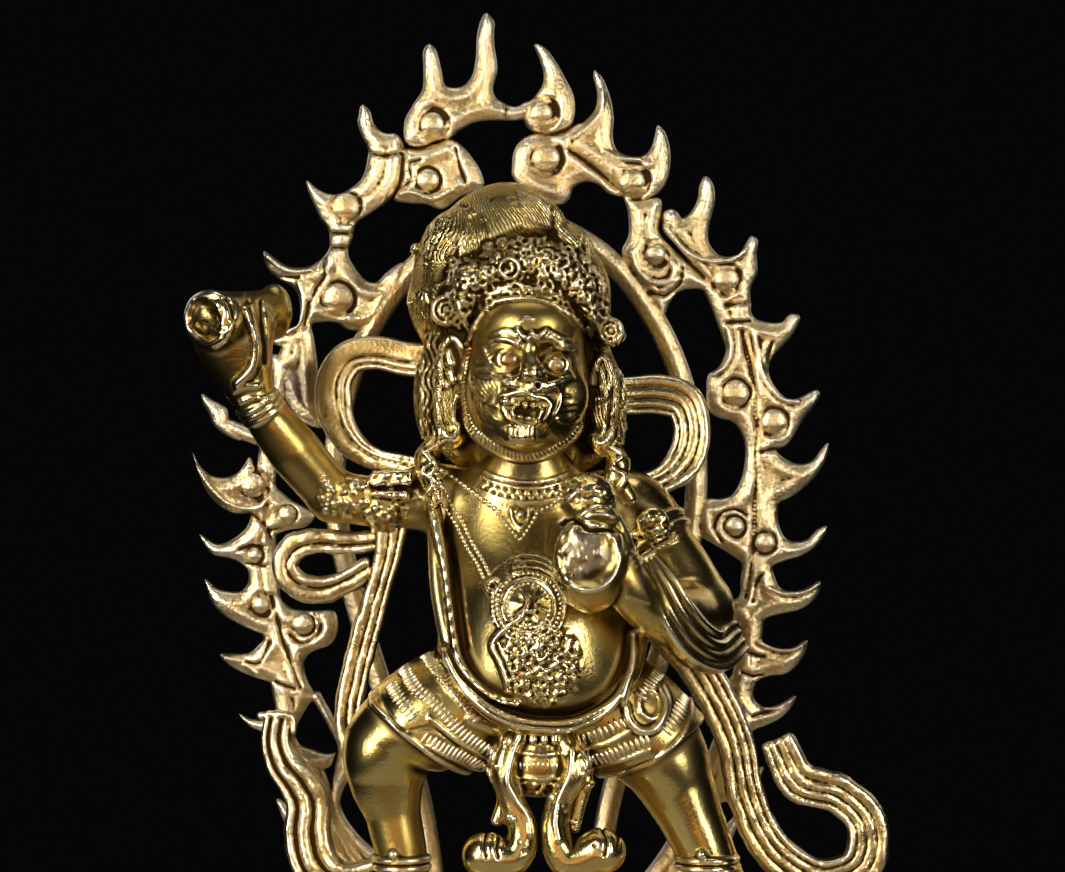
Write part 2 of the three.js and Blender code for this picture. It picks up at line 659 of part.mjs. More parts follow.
function ribbon(line, halfWidths, options = {}) {
  const sizes = line.map((_, i) => [halfWidths[Math.min(i, halfWidths.length - 1)], SCARF_HALF_DEPTH]);
  return sweep(line, sizes, { section: flutedSection(2), ...options });
}

function scarf() {
  const half = SCARF_HALF_WIDTH;
  const leftHalo = [
    [-15, 4, 131], [-26.2, 7, 134.1], [-34.3, 7.4, 136.8], [-41.4, 7.2, 134.7], [-45, 6.6, 128.1],
    [-43.4, 6, 120], [-38.9, 5, 113.3], [-30, 2.6, 108.6],
  ];
  const rightHalo = [
    [6, 4, 131], [16.2, 7, 131.5], [22.6, 7.2, 130.1], [29.3, 6.8, 126.1], [31.9, 6.2, 120],
    [29.3, 5.2, 112.9], [23.2, 3.4, 108.9], [14, 1, 107],
  ];
  const leftDrop = [
    [-31, -1, 108], [-34, -0.4, 95], [-37.4, 0.4, 83], [-40, 1, 71], [-38.6, 0, 58], [-32, -3, 50],
  ];
  const eyelet = [
    [-34.6, 0.2, 98.4], [-40, 0.4, 101.2], [-47.4, 0.5, 100.8], [-53, 0.5, 95.6], [-49.6, 0.5, 89.4],
    [-43, 0.4, 87.8], [-37.6, 0.2, 91.8],
  ];
  const rightDrop = [
    [19, -2, 86], [25, 1, 80], [31.1, 2, 72.8], [38.1, 2.4, 58.8], [40.6, 2.4, 46.8], [46, 2, 36.4],
    [55.6, 1.4, 30.8], [63.6, 1.4, 33.8], [65, 1.4, 42], [59, 1.4, 48.8], [50.8, 1.4, 51.4], [46.8, 1.4, 58],
  ];
  const leftEnd = [
    [-53, 3, 62.6], [-52.2, 2.6, 54.8], [-49, 2, 46.6], [-47.2, 1.6, 36.4], [-41.6, 0, 30.8], [-33, -3, 32.6],
    [-28, -4, 36],
  ];
  const tie = [[-48.6, 1.6, 46], [-42, -0.4, 45.2], [-33, -4, 47.4]];
  return [
    ribbon(leftHalo, [half], { steps: 10 }),
    ribbon(rightHalo, [half], { steps: 10 }),
    ribbon(leftDrop, [half + 0.6], { steps: 6 }),
    ribbon(eyelet, [half - 0.8], { steps: 9 }),
    ribbon(rightDrop, [half + 0.6], { steps: 16 }),
    ribbon(leftEnd, [3.6, 4.4, 4.6, 4.6, 4.4, 3.6, 3], { steps: 9 }),
    sweep(tie, [1.6, 1.8, 1.8], { section: roundSection(4), steps: 2 }),
  ];
}

function figure() {
  const pieces = [
    hair(), ...face(), ...ears(), ...diadem(), ...trunk(), ...ornaments(), ...raisedArm(), ...bellArm(),
    ...skirt(), ...legs(), ...tails(), ...scarf(),
  ];
  return joined(pieces).subtract(underPlinthTop());
}

const gilding = new THREE.MeshStandardMaterial({ color: 0xc79a3a, roughness: 0.3, metalness: 1 });
const paleGilding = new THREE.MeshStandardMaterial({ color: 0xd9b878, roughness: 0.42, metalness: 1 });
const wornGilding = new THREE.MeshStandardMaterial({ color: 0xb98c3c, roughness: 0.38, metalness: 1 });

const group = new THREE.Group();
group.add(toMesh('figure', figure(), gilding));
group.add(toMesh('aureole', aureole(), paleGilding));
group.add(toMesh('lotus_plinth', lotusPlinth(), wornGilding));

export default group;
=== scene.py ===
"""A gilt brass protector deity, lunging before a pierced flaming aureole on a lotus plinth.

Each part of a casting is modelled as signed distances in millimetres on a regular grid,
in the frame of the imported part, and is then turned into a mesh in metres.
"""

import logging
import math
from dataclasses import dataclass, field
from enum import Enum
from typing import Iterable, Sequence

import bpy
import numpy as np
import openvdb
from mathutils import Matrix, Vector


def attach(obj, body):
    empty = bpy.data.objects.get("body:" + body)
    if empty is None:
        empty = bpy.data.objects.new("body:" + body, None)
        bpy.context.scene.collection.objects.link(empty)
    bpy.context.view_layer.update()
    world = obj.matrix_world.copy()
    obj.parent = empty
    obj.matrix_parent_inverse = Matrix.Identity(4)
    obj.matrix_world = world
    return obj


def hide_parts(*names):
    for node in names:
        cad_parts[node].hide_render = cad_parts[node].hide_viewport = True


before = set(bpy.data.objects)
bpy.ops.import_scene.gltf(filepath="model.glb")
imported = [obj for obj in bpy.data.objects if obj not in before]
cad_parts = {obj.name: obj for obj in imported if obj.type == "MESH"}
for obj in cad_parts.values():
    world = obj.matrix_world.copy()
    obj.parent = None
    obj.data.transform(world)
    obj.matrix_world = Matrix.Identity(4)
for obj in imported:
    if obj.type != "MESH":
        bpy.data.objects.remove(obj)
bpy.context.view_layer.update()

MM = 0.001
BODY = "root"
SEED = 7
FAR = 9.0
BAND = 1.6
FRONT = (0.0, -1.0, 0.0)
UP = (0.0, 0.0, 1.0)

log = logging.getLogger("statue")

Point = Sequence[float]


def smooth_line(points: Iterable[Point], per_span: int = 8) -> tuple[np.ndarray, np.ndarray]:
    """Runs a centripetal Catmull-Rom line through points.

    Args:
        points: the points, in any number of dimensions; only the first three place the line.
        per_span: how many steps there are between two neighbouring points.

    Returns:
        The points of the line, and for each its place counted in the given points.
    """
    given = np.array(list(points), float)
    place = np.linspace(0, len(given) - 1, per_span * (len(given) - 1) + 1)
    ahead = np.vstack([2 * given[0] - given[1], given, 2 * given[-1] - given[-2]])
    span = np.clip(place.astype(int), 0, len(given) - 2)
    share = (place - span)[:, None]
    p0, p1, p2, p3 = (ahead[span + i] for i in range(4))
    gaps = [np.maximum(np.linalg.norm(b[:, :3] - a[:, :3], axis=1), 1e-4)[:, None] ** 0.5
            for a, b in ((p0, p1), (p1, p2), (p2, p3))]
    g0, g1, g2 = gaps
    leave = ((p1 - p0) / g0 - (p2 - p0) / (g0 + g1) + (p2 - p1) / g1) * g1
    reach = ((p2 - p1) / g1 - (p3 - p1) / (g1 + g2) + (p3 - p2) / g2) * g1
    line = (p1 + leave * share + (-3 * p1 + 3 * p2 - 2 * leave - reach) * share ** 2
            + (2 * p1 - 2 * p2 + leave + reach) * share ** 3)
    return line, place


def between(values: np.ndarray, place: np.ndarray) -> np.ndarray:
    """Reads rows of values at places counted in rows, straight from row to row."""
    low = np.clip(place.astype(int), 0, len(values) - 2)
    share = (place - low)[:, None] if values.ndim > 1 else place - low
    return values[low] * (1 - share) + values[low + 1] * share


def unit(vectors: np.ndarray) -> np.ndarray:
    """Scales vectors, held along the last axis, to length one."""
    return vectors / np.maximum(np.linalg.norm(vectors, axis=-1, keepdims=True), 1e-9)


def turned(angles: Point) -> np.ndarray:
    """Gives the rotation matrix of angles in radians about X, then Y, then Z."""
    cx, cy, cz = np.cos(angles)
    sx, sy, sz = np.sin(angles)
    about_x = np.array([[1, 0, 0], [0, cx, -sx], [0, sx, cx]])
    about_y = np.array([[cy, 0, sy], [0, 1, 0], [-sy, 0, cy]])
    about_z = np.array([[cz, -sz, 0], [sz, cz, 0], [0, 0, 1]])
    return about_x @ about_y @ about_z


def dome(share: np.ndarray) -> np.ndarray:
    """A smooth hump: 1 at share 0, and 0 with a level foot from share 1 on."""
    return np.clip(1 - share * share, 0, 1) ** 2


def step(low: float, high: float, value: np.ndarray) -> np.ndarray:
    """A smooth step from 0 at low to 1 at high."""
    share = np.clip((value - low) / (high - low), 0, 1)
    return share * share * (3 - 2 * share)


def soft_min(one: np.ndarray, other: np.ndarray, blend: float) -> np.ndarray:
    """The smaller of two distances, rounded where they are within blend of each other."""
    if blend <= 0:
        return np.minimum(one, other)
    near = np.maximum(blend - np.abs(one - other), 0) / blend
    return np.minimum(one, other) - near * near * blend / 4


class Form:
    """A solid form that can tell the distance from points to its surface."""

    low: np.ndarray
    high: np.ndarray

    def distance(self, x: np.ndarray, y: np.ndarray, z: np.ndarray) -> np.ndarray:
        """Gives signed distances over the open grid x, y, z, negative inside."""
        raise NotImplementedError


class Ball(Form):
    """An ellipsoid."""

    def __init__(self, centre: Point, radii: Point | float, turn: Point = (0, 0, 0)) -> None:
        """Places an ellipsoid.

        Args:
            centre: its centre.
            radii: its three radii, or one for all.
            turn: its turn about X, Y and Z in radians.
        """
        self.centre = np.array(centre, float)
        self.radii = np.array(radii if np.ndim(radii) else (radii,) * 3, float)
        self.axes = turned(turn) if any(turn) else None
        reach = self.radii if self.axes is None else np.sqrt(((self.axes * self.radii) ** 2).sum(1))
        self.low, self.high = self.centre - reach, self.centre + reach

    def distance(self, x: np.ndarray, y: np.ndarray, z: np.ndarray) -> np.ndarray:
        """Gives signed distances over the open grid x, y, z, negative inside."""
        parts = [x - self.centre[0], y - self.centre[1], z - self.centre[2]]
        if self.axes is not None:
            parts = [sum(self.axes[j, i] * parts[j] for j in range(3)) for i in range(3)]
        inner = np.sqrt(sum((p / r) ** 2 for p, r in zip(parts, self.radii)))
        outer = np.sqrt(sum((p / r ** 2) ** 2 for p, r in zip(parts, self.radii)))
        return inner * (inner - 1) / np.maximum(outer, 1e-6)


class Ring(Form):
    """A round hoop, or an oval one where its two radii differ."""

    def __init__(self, centre: Point, radius: float, thickness: float, normal: Point = FRONT,
                 squash: float = 1.0) -> None:
        """Places a hoop.

        Args:
            centre: its centre.
            radius: the radius of its middle line.
            thickness: the radius of its section.
            normal: the direction it faces.
            squash: its height as a share of its width.
        """
        self.centre = np.array(centre, float)
        self.radius, self.thickness, self.squash = radius, thickness, squash
        self.normal = unit(np.array(normal, float))
        side = np.cross(self.normal, UP)
        self.side = unit(side if np.linalg.norm(side) > 1e-3 else np.array([1.0, 0, 0]))
        self.rise = np.cross(self.side, self.normal)
        reach = radius + thickness
        self.low, self.high = self.centre - reach, self.centre + reach

    def distance(self, x: np.ndarray, y: np.ndarray, z: np.ndarray) -> np.ndarray:
        """Gives signed distances over the open grid x, y, z, negative inside."""
        parts = (x - self.centre[0], y - self.centre[1], z - self.centre[2])
        along, across, rise = (sum(a[i] * parts[i] for i in range(3))
                               for a in (self.normal, self.side, self.rise))
        flat = np.sqrt(across ** 2 + (rise / self.squash) ** 2) - self.radius
        return np.sqrt(flat ** 2 + along ** 2) - self.thickness


class Section(Enum):
    """The shapes that a sweep's section can take."""

    ROUND = "round"
    FLAT = "flat"
    FLUTED = "fluted"


class Sweep(Form):
    """A section swept along a smooth line, its half width and half depth changing on the way."""

    def __init__(self, points: Iterable[Point], sizes: Iterable[Point | float],
                 section: Section = Section.ROUND, front: Point = FRONT, flutes: int = 2,
                 per_span: int = 6, flute_depth: float = 0.8, crowding: float = 1.0) -> None:
        """Lays out a sweep.

        Args:
            points: the points that its middle line passes through.
            sizes: half width and half depth at each point, or one number for both.
            section: the shape of its section.
            front: the direction that the depth side of its section keeps to.
            flutes: how many rounded flutes a fluted section has on its front.
            per_span: how many straight steps there are between two points.
            flute_depth: how deep the valleys between the flutes are, in millimetres.
            crowding: how much narrower the flutes get towards one side, 1 being not at all.
        """
        self.line, self.place = smooth_line(points, per_span)
        pairs = np.array([s if np.ndim(s) else (s, s) for s in sizes], float)
        self.sizes = between(pairs, self.place) if len(pairs) > 1 else np.repeat(pairs, len(self.line), 0)
        along = unit(np.gradient(self.line, axis=0))
        facing = np.array(front, float)
        self.along = along
        self.deep = unit(facing - (along @ facing)[:, None] * along)
        self.across = np.cross(self.deep, along)
        self.section, self.flutes, self.flute_depth, self.crowding = section, flutes, flute_depth, crowding
        self.reach = self.sizes.max(1)
        self.low = (self.line - self.reach[:, None]).min(0)
        self.high = (self.line + self.reach[:, None]).max(0)

    def distance(self, x: np.ndarray, y: np.ndarray, z: np.ndarray) -> np.ndarray:
        """Gives signed distances over the open grid x, y, z, negative inside."""
        grid = [axis.ravel() for axis in (x, y, z)]
        best = np.full([len(axis) for axis in grid], np.inf, np.float32)
        where = np.zeros_like(best)
        for i in range(len(self.line) - 1):
            start, end = self.line[i], self.line[i + 1]
            room = max(self.reach[i], self.reach[i + 1]) * 1.2 + BAND
            cut = [slice(np.searchsorted(axis, min(start[k], end[k]) - room),
                         np.searchsorted(axis, max(start[k], end[k]) + room))
                   for k, axis in enumerate(grid)]
            if any(c.stop <= c.start for c in cut):
                continue
            gap = end - start
            parts = [grid[0][cut[0]][:, None, None] - start[0], grid[1][cut[1]][None, :, None] - start[1],
                     grid[2][cut[2]][None, None, :] - start[2]]
            share = np.clip(sum(p * g for p, g in zip(parts, gap)) / max(gap @ gap, 1e-9), 0, 1)
            away = sum((p - share * g) ** 2 for p, g in zip(parts, gap)).astype(np.float32)
            window = tuple(cut)
            closer = away < best[window]
            best[window] = np.where(closer, away, best[window])
            where[window] = np.where(closer, i + share, where[window])
        near = np.isfinite(best)
        out = np.full_like(best, FAR)
        spot = np.nonzero(near)
        place = where[near]
        offset = np.stack([g[s] for g, s in zip(grid, spot)], 1) - between(self.line, place)
        across, deep, along = ((offset * between(v, place)).sum(1)
                               for v in (self.across, self.deep, self.along))
        inner = (place > 1e-3) & (place < len(self.line) - 1 - 1e-3)
        along = np.where(inner, 0, along)
        half, depth = between(self.sizes, place).T
        out[near] = self._profile(across, deep, along, half, depth)
        return out

    def _profile(self, across: np.ndarray, deep: np.ndarray, along: np.ndarray, half: np.ndarray,
                 depth: np.ndarray) -> np.ndarray:
        """Measures points in the section's own frame."""
        if self.section is Section.ROUND:
            least = np.minimum(half, depth)
            inner = np.sqrt((across / half) ** 2 + (deep / depth) ** 2 + (along / least) ** 2)
            outer = np.sqrt((across / half ** 2) ** 2 + (deep / depth ** 2) ** 2 + (along / least ** 2) ** 2)
            return np.where(outer > 1e-4, inner * (inner - 1) / np.maximum(outer, 1e-4), -least)
        corner = np.minimum(half, depth) * 0.55
        flat = np.abs(across) - half + corner
        thick = np.abs(deep) - depth + corner
        solid = np.hypot(np.maximum(flat, 0), np.maximum(thick, 0)) + np.minimum(np.maximum(flat, thick), 0)
        solid = np.where(np.abs(along) > 0, np.hypot(np.maximum(solid, 0), along), solid) - corner
        if self.section is Section.FLUTED:
            share = np.clip((across / half + 1) / 2, 0, 1) ** self.crowding * self.flutes
            crest = 1 - np.abs(2 * (share - np.floor(share)) - 1) ** 2.2
            solid = solid + self.flute_depth * (1 - crest) * step(-0.2, 0.6, deep / depth)
        return solid


class Cut(Form):
    """A form of which only the part on one side of a plane is kept."""

    def __init__(self, form: Form, point: Point, normal: Point) -> None:
        """Cuts a form.

        Args:
            form: the form.
            point: a point on the plane.
            normal: the direction in which the form is cut away.
        """
        self.form, self.point, self.normal = form, np.array(point, float), unit(np.array(normal, float))
        self.low, self.high = form.low, form.high

    def distance(self, x: np.ndarray, y: np.ndarray, z: np.ndarray) -> np.ndarray:
        """Gives signed distances over the open grid x, y, z, negative inside."""
        plane = sum(n * (a - p) for n, a, p in zip(self.normal, (x, y, z), self.point))
        return np.maximum(self.form.distance(x, y, z), plane)


class Pillow(Form):
    """A form with an outline in the x-z plane, that swells towards the front and the back."""

    def __init__(self, outline: Iterable[Point], middle: float, front: float, back: float, slope: float) -> None:
        """Lays out a pillow.

        Args:
            outline: the corners of its smooth closed outline.
            middle: the depth at which it is widest.
            front: how far it swells forwards.
            back: how far it swells backwards.
            slope: how far inside its outline it is at its fullest.
        """
        self.outline, self.middle, self.deep, self.slope = tuple(outline), middle, (front, back), slope
        corners = np.array(self.outline, float)
        self.low = np.array([corners[:, 0].min() - 1, middle - front, corners[:, 1].min() - 1])
        self.high = np.array([corners[:, 0].max() + 1, middle + back, corners[:, 1].max() + 1])

    def distance(self, x: np.ndarray, y: np.ndarray, z: np.ndarray) -> np.ndarray:
        """Gives signed distances over the open grid x, y, z, negative inside."""
        sheet = Canvas(x.ravel(), z.ravel())
        cut, signed = sheet.region(self.outline, 2 * FAR + self.slope)
        edge = np.full(sheet.height.shape, FAR)
        edge[cut] = signed
        inward = np.clip(1 + edge[:, None, :] / self.slope, 0, None)
        deep = np.where(y < self.middle, *self.deep)
        rise = (y - self.middle) / deep
        inner = np.sqrt(inward ** 2 + rise ** 2)
        outer = np.sqrt((inward / self.slope) ** 2 + (rise / deep) ** 2)
        return (inner * (inner - 1) / np.maximum(outer, 1e-6)).astype(np.float32)


class Clay:
    """A block of signed distances that forms are joined to, cut from and pressed into."""

    def __init__(self, low: Point, high: Point, pitch: float) -> None:
        """Makes an empty block.

        Args:
            low: its lowest corner in millimetres.
            high: its highest corner.
            pitch: the distance between its samples.
        """
        self.pitch = pitch
        self.start = np.floor(np.array(low, float) / pitch) * pitch
        count = np.ceil((np.array(high, float) - self.start) / pitch).astype(int) + 1
        self.axes = [self.start[i] + pitch * np.arange(count[i]) for i in range(3)]
        self.field = np.full(count, FAR, np.float32)

    def window(self, low: Point, high: Point) -> tuple[tuple[slice, ...], list[np.ndarray]]:
        """Finds the samples between two corners.

        Args:
            low: the lowest corner.
            high: the highest corner.

        Returns:
            The window's slices, and its samples' places as an open grid.
        """
        cut = tuple(slice(int(np.searchsorted(a, lo)), int(np.searchsorted(a, hi)))
                    for a, lo, hi in zip(self.axes, low, high))
        shapes = ((-1, 1, 1), (1, -1, 1), (1, 1, -1))
        return cut, [a[c].reshape(s).astype(np.float32) for a, c, s in zip(self.axes, cut, shapes)]

    def _measure(self, forms: Form | Sequence[Form], room: float) -> tuple[tuple[slice, ...], np.ndarray]:
        """Measures one form, or several as one, over the window that holds them."""
        group = [forms] if isinstance(forms, Form) else list(forms)
        low = np.min([f.low for f in group], 0) - room
        high = np.max([f.high for f in group], 0) + room
        cut, (x, y, z) = self.window(low, high)
        if any(c.stop <= c.start for c in cut):
            return cut, np.zeros([c.stop - c.start for c in cut], np.float32)
        if len(group) == 1:
            return cut, group[0].distance(x, y, z)
        total = np.full([c.stop - c.start for c in cut], FAR, np.float32)
        for form in group:
            part, (px, py, pz) = self.window(form.low - room, form.high + room)
            local = tuple(slice(p.start - c.start, p.stop - c.start) for p, c in zip(part, cut))
            if all(s.stop > s.start for s in local):
                total[local] = np.minimum(total[local], form.distance(px, py, pz))
        return cut, total

    def add(self, forms: Form | Sequence[Form], blend: float = 0.5) -> None:
        """Joins forms on, with a fillet of about blend millimetres where they meet the block."""
        cut, distance = self._measure(forms, BAND + blend)
        self.field[cut] = soft_min(self.field[cut], distance, blend)

    def carve(self, forms: Form | Sequence[Form], blend: float = 0.3) -> None:
        """Cuts forms away, with an edge rounded by about blend millimetres."""
        cut, distance = self._measure(forms, BAND + blend)
        self.field[cut] = -soft_min(-self.field[cut], distance, blend)

    def calm(self, times: int = 2) -> None:
        """Wears the whole block smooth, by averaging each sample with its neighbours."""
        for _ in range(times):
            for axis in (0, 1, 2):
                pairs = np.moveaxis(self.field, axis, 0)
                mean = 0.5 * (pairs[:-1] + pairs[1:])
                pairs[1:-1] = 0.5 * (mean[:-1] + mean[1:])

    def level(self, height: float) -> None:
        """Cuts away everything below a height."""
        self.field = np.maximum(self.field, (height - self.axes[2]).astype(np.float32)[None, None, :])

    def front(self, x: np.ndarray, z: np.ndarray) -> np.ndarray:
        """Finds the depth of the block's front at places in the x-z plane.

        Args:
            x: the places' x.
            z: the places' z.

        Returns:
            The y of the first surface met from the front, or nan where there is none.
        """
        i = np.clip(np.round((x - self.start[0]) / self.pitch).astype(int), 0, self.field.shape[0] - 1)
        k = np.clip(np.round((z - self.start[2]) / self.pitch).astype(int), 0, self.field.shape[2] - 1)
        columns = self.field[i, :, k]
        inside = columns < 0
        first = np.maximum(inside.argmax(1), 1)
        rows = np.arange(len(first))
        ahead, behind = columns[rows, first - 1], columns[rows, first]
        share = np.clip(ahead / np.maximum(ahead - behind, 1e-6), 0, 1)
        depth = self.axes[1][first - 1] + share * self.pitch
        return np.where(inside.any(1), depth, np.nan)

    def facing(self, places: np.ndarray) -> np.ndarray:
        """Finds the outward directions of the surface near places."""
        at = np.round((places - self.start) / self.pitch).astype(int)
        at = np.clip(at, 2, np.array(self.field.shape) - 3)
        ahead = [self.field[tuple((at + 2 * np.eye(3, dtype=int)[i]).T)] for i in range(3)]
        behind = [self.field[tuple((at - 2 * np.eye(3, dtype=int)[i]).T)] for i in range(3)]
        return unit(np.stack([a - b for a, b in zip(ahead, behind)], 1))

    def mesh(self, name: str, budget: int) -> bpy.types.Object:
        """Turns the block into a mesh object in metres, with its crevices marked.

        Args:
            name: the object's name.
            budget: how many triangles it may have.

        Returns:
            The object, at the origin, with the point attributes "crevice" and "shelter".
        """
        grid = openvdb.FloatGrid()
        shell = 2.5 * self.pitch
        grid.background = shell
        grid.copyFromArray(np.clip(self.field, -shell, shell), tolerance=0.001)
        points, quads = grid.convertToQuads(isovalue=0.0)
        co = (points * self.pitch + self.start) * MM
        obj = new_object(name, co, quads)
        total = 2 * len(quads)
        if total > budget:
            thinner = obj.modifiers.new("thin", "DECIMATE")
            thinner.ratio = budget / total
            applied(obj)
        obj.data.shade_smooth()
        places = vertex_places(obj)
        for label, radius in (("crevice", 0.7), ("shelter", 2.6)):
            mark(obj, label, self._hollowness(places, radius))
        return obj

    def _hollowness(self, places: np.ndarray, radius: float) -> np.ndarray:
        """Tells how deep in a hollow each place lies: 0.5 on a flat, towards 1 in a hollow."""
        stride = max(1, int(radius / self.pitch / 2.5))
        coarse = np.clip(self.field[::stride, ::stride, ::stride], -2 * radius, 2 * radius)
        reach = max(1, int(round(radius / (self.pitch * stride))))
        for axis in (0, 1, 2):
            padding = [(0, 0)] * 3
            padding[axis] = (reach + 1, reach)
            total = np.cumsum(np.pad(coarse, padding, "edge"), axis=axis, dtype=np.float32)
            width = 2 * reach + 1
            ahead = [slice(None)] * 3
            behind = [slice(None)] * 3
            ahead[axis] = slice(width, None)
            behind[axis] = slice(None, -width)
            coarse = (total[tuple(ahead)] - total[tuple(behind)]) / width
        at = (places - self.start) / (self.pitch * stride)
        low = np.clip(at.astype(int), 0, np.array(coarse.shape) - 2)
        share = at - low
        value = np.zeros(len(places))
        for corner in range(8):
            pick = [(corner >> axis) & 1 for axis in range(3)]
            weight = np.prod([share[:, a] if p else 1 - share[:, a] for a, p in enumerate(pick)], axis=0)
            value += weight * coarse[low[:, 0] + pick[0], low[:, 1] + pick[1], low[:, 2] + pick[2]]
        return np.clip(0.5 - value / radius, 0, 1)


class Canvas:
    """Heights over a part of the x-z plane, painted mark by mark."""

    def __init__(self, x: np.ndarray, z: np.ndarray) -> None:
        """Opens a level canvas over sorted places in x and in z."""
        self.x, self.z = x, z
        self.height = np.zeros((len(x), len(z)), np.float32)

    def patch(self, low: Point, high: Point) -> tuple[tuple[slice, slice], np.ndarray, np.ndarray]:
        """Finds part of the window, and its places as an open grid."""
        cut = tuple(slice(int(np.searchsorted(a, lo)), int(np.searchsorted(a, hi)))
                    for a, lo, hi in ((self.x, low[0], high[0]), (self.z, low[1], high[1])))
        return cut, self.x[cut[0]][:, None], self.z[cut[1]][None, :]

    def along(self, points: Iterable[Point], reach: float,
              smooth: bool = True) -> tuple[tuple[slice, slice], np.ndarray, np.ndarray, np.ndarray]:
        """Measures places near a line.

        Args:
            points: the line's points, x and z, with any further values carried along.
            reach: how far from the line to measure.
            smooth: whether the line is a curve through its points.

        Returns:
            The patch, each place's distance to the line, the length walked along the line to
            there, and which side of the line it is on, as a signed distance.
        """
        line = smooth_line(points, 6)[0] if smooth else np.array(list(points), float)
        cut, x, z = self.patch(line[:, :2].min(0) - reach, line[:, :2].max(0) + reach)
        best = np.full((x.shape[0], z.shape[1]), np.inf)
        walked = np.zeros_like(best)
        side = np.zeros_like(best)
        length = 0.0
        for start, end in zip(line[:-1, :2], line[1:, :2]):
            gap = end - start
            size = float(np.hypot(*gap))
            if size < 1e-6:
                continue
            share = np.clip(((x - start[0]) * gap[0] + (z - start[1]) * gap[1]) / size ** 2, 0, 1)
            away = np.hypot(x - start[0] - share * gap[0], z - start[1] - share * gap[1])
            closer = away < best
            best = np.where(closer, away, best)
            walked = np.where(closer, length + share * size, walked)
            cross = ((z - start[1]) * gap[0] - (x - start[0]) * gap[1]) / size
            side = np.where(closer, cross, side)
            length += size
        return cut, best, walked, side

    def region(self, outline: Iterable[Point], reach: float) -> tuple[tuple[slice, slice], np.ndarray]:
        """Measures places against a smooth closed outline.

        Args:
            outline: its corners.
            reach: how far outside it to measure.

        Returns:
            The patch, and each place's distance to the outline, negative inside.
        """
        corners = np.array(list(outline), float)
        line = smooth_line(np.vstack([corners, corners[:2]]), 6)[0][:-6]
        cut, away, _, _ = self.along(line, reach, smooth=False)
        x, z = self.x[cut[0]][:, None], self.z[cut[1]][None, :]
        inside = np.zeros(away.shape, bool)
        for start, end in zip(line[:-1], line[1:]):
            run = end[1] - start[1]
            at = start[0] + (z - start[1]) / (run if abs(run) > 1e-9 else 1e-9) * (end[0] - start[0])
            inside ^= ((start[1] > z) != (end[1] > z)) & (x < at)
        return cut, np.where(inside, -away, away)

    def field(self, outline: Iterable[Point], soft: float = 0.6) -> np.ndarray:
        """Gives a mask over the canvas: 1 inside an outline, 0 outside, soft between."""
        mask = np.zeros(self.height.shape)
        cut, signed = self.region(outline, 1.0)
        mask[cut] = step(soft / 2, -soft / 2, signed)
        return mask

    def cord(self, points: Iterable[Point], half: float, height: float, smooth: bool = True) -> None:
        """Raises a rounded cord of a half width along a line."""
        cut, away, _, _ = self.along(points, half, smooth)
        self.height[cut] = np.maximum(self.height[cut], height * np.sqrt(np.clip(1 - (away / half) ** 2, 0, 1)))

    def groove(self, points: Iterable[Point], half: float, depth: float, smooth: bool = True) -> None:
        """Sinks a smooth groove of a half width along a line."""
        cut, away, _, _ = self.along(points, half, smooth)
        self.height[cut] -= depth * dome(away / half)

    def rope(self, points: Iterable[Point], half: float, height: float, pitch: float, slant: float = 0.7,
             depth: float = 0.7) -> None:
        """Raises a cord cut across by slanting grooves.

        Args:
            points: the cord's line.
            half: its half width.
            height: how far it stands up.
            pitch: the distance from groove to groove.
            slant: how far a groove runs on along the cord for each millimetre across it.
            depth: the grooves' depth as a share of the height.
        """
        cut, away, walked, side = self.along(points, half)
        turn = np.cos(2 * math.pi * (walked + slant * side) / pitch)
        body = np.sqrt(np.clip(1 - (away / half) ** 2, 0, 1))
        self.height[cut] = np.maximum(self.height[cut], height * body * (1 - depth * (0.5 - 0.5 * turn)))

    def dot(self, centre: Point, radius: float, height: float) -> None:
        """Raises a round bead."""
        cut, x, z = self.patch(np.array(centre[:2]) - radius, np.array(centre[:2]) + radius)
        away = np.hypot(x - centre[0], z - centre[1]) / radius
        self.height[cut] = np.maximum(self.height[cut], height * np.sqrt(np.clip(1 - away ** 2, 0, 1)))

    def pit(self, centre: Point, radius: float, depth: float) -> None:
        """Sinks a round hollow."""
        cut, x, z = self.patch(np.array(centre[:2]) - radius, np.array(centre[:2]) + radius)
        self.height[cut] -= depth * dome(np.hypot(x - centre[0], z - centre[1]) / radius)

    def ring(self, centre: Point, radius: float, half: float, height: float, squash: float = 1.0) -> None:
        """Raises a ring, or sinks one where the height is negative."""
        reach = radius + half
        cut, x, z = self.patch((centre[0] - reach, centre[1] - reach), (centre[0] + reach, centre[1] + reach))
        away = np.abs(np.hypot(x - centre[0], (z - centre[1]) / squash) - radius) / half
        if height > 0:
            self.height[cut] = np.maximum(self.height[cut], height * np.sqrt(np.clip(1 - away ** 2, 0, 1)))
        else:
            self.height[cut] += height * dome(away)

    def beads(self, points: Iterable[Point], radius: float, pitch: float, height: float) -> None:
        """Raises a row of beads along a line."""
        for spot in paced(np.array(list(points), float), pitch):
            self.dot(spot, radius, height)

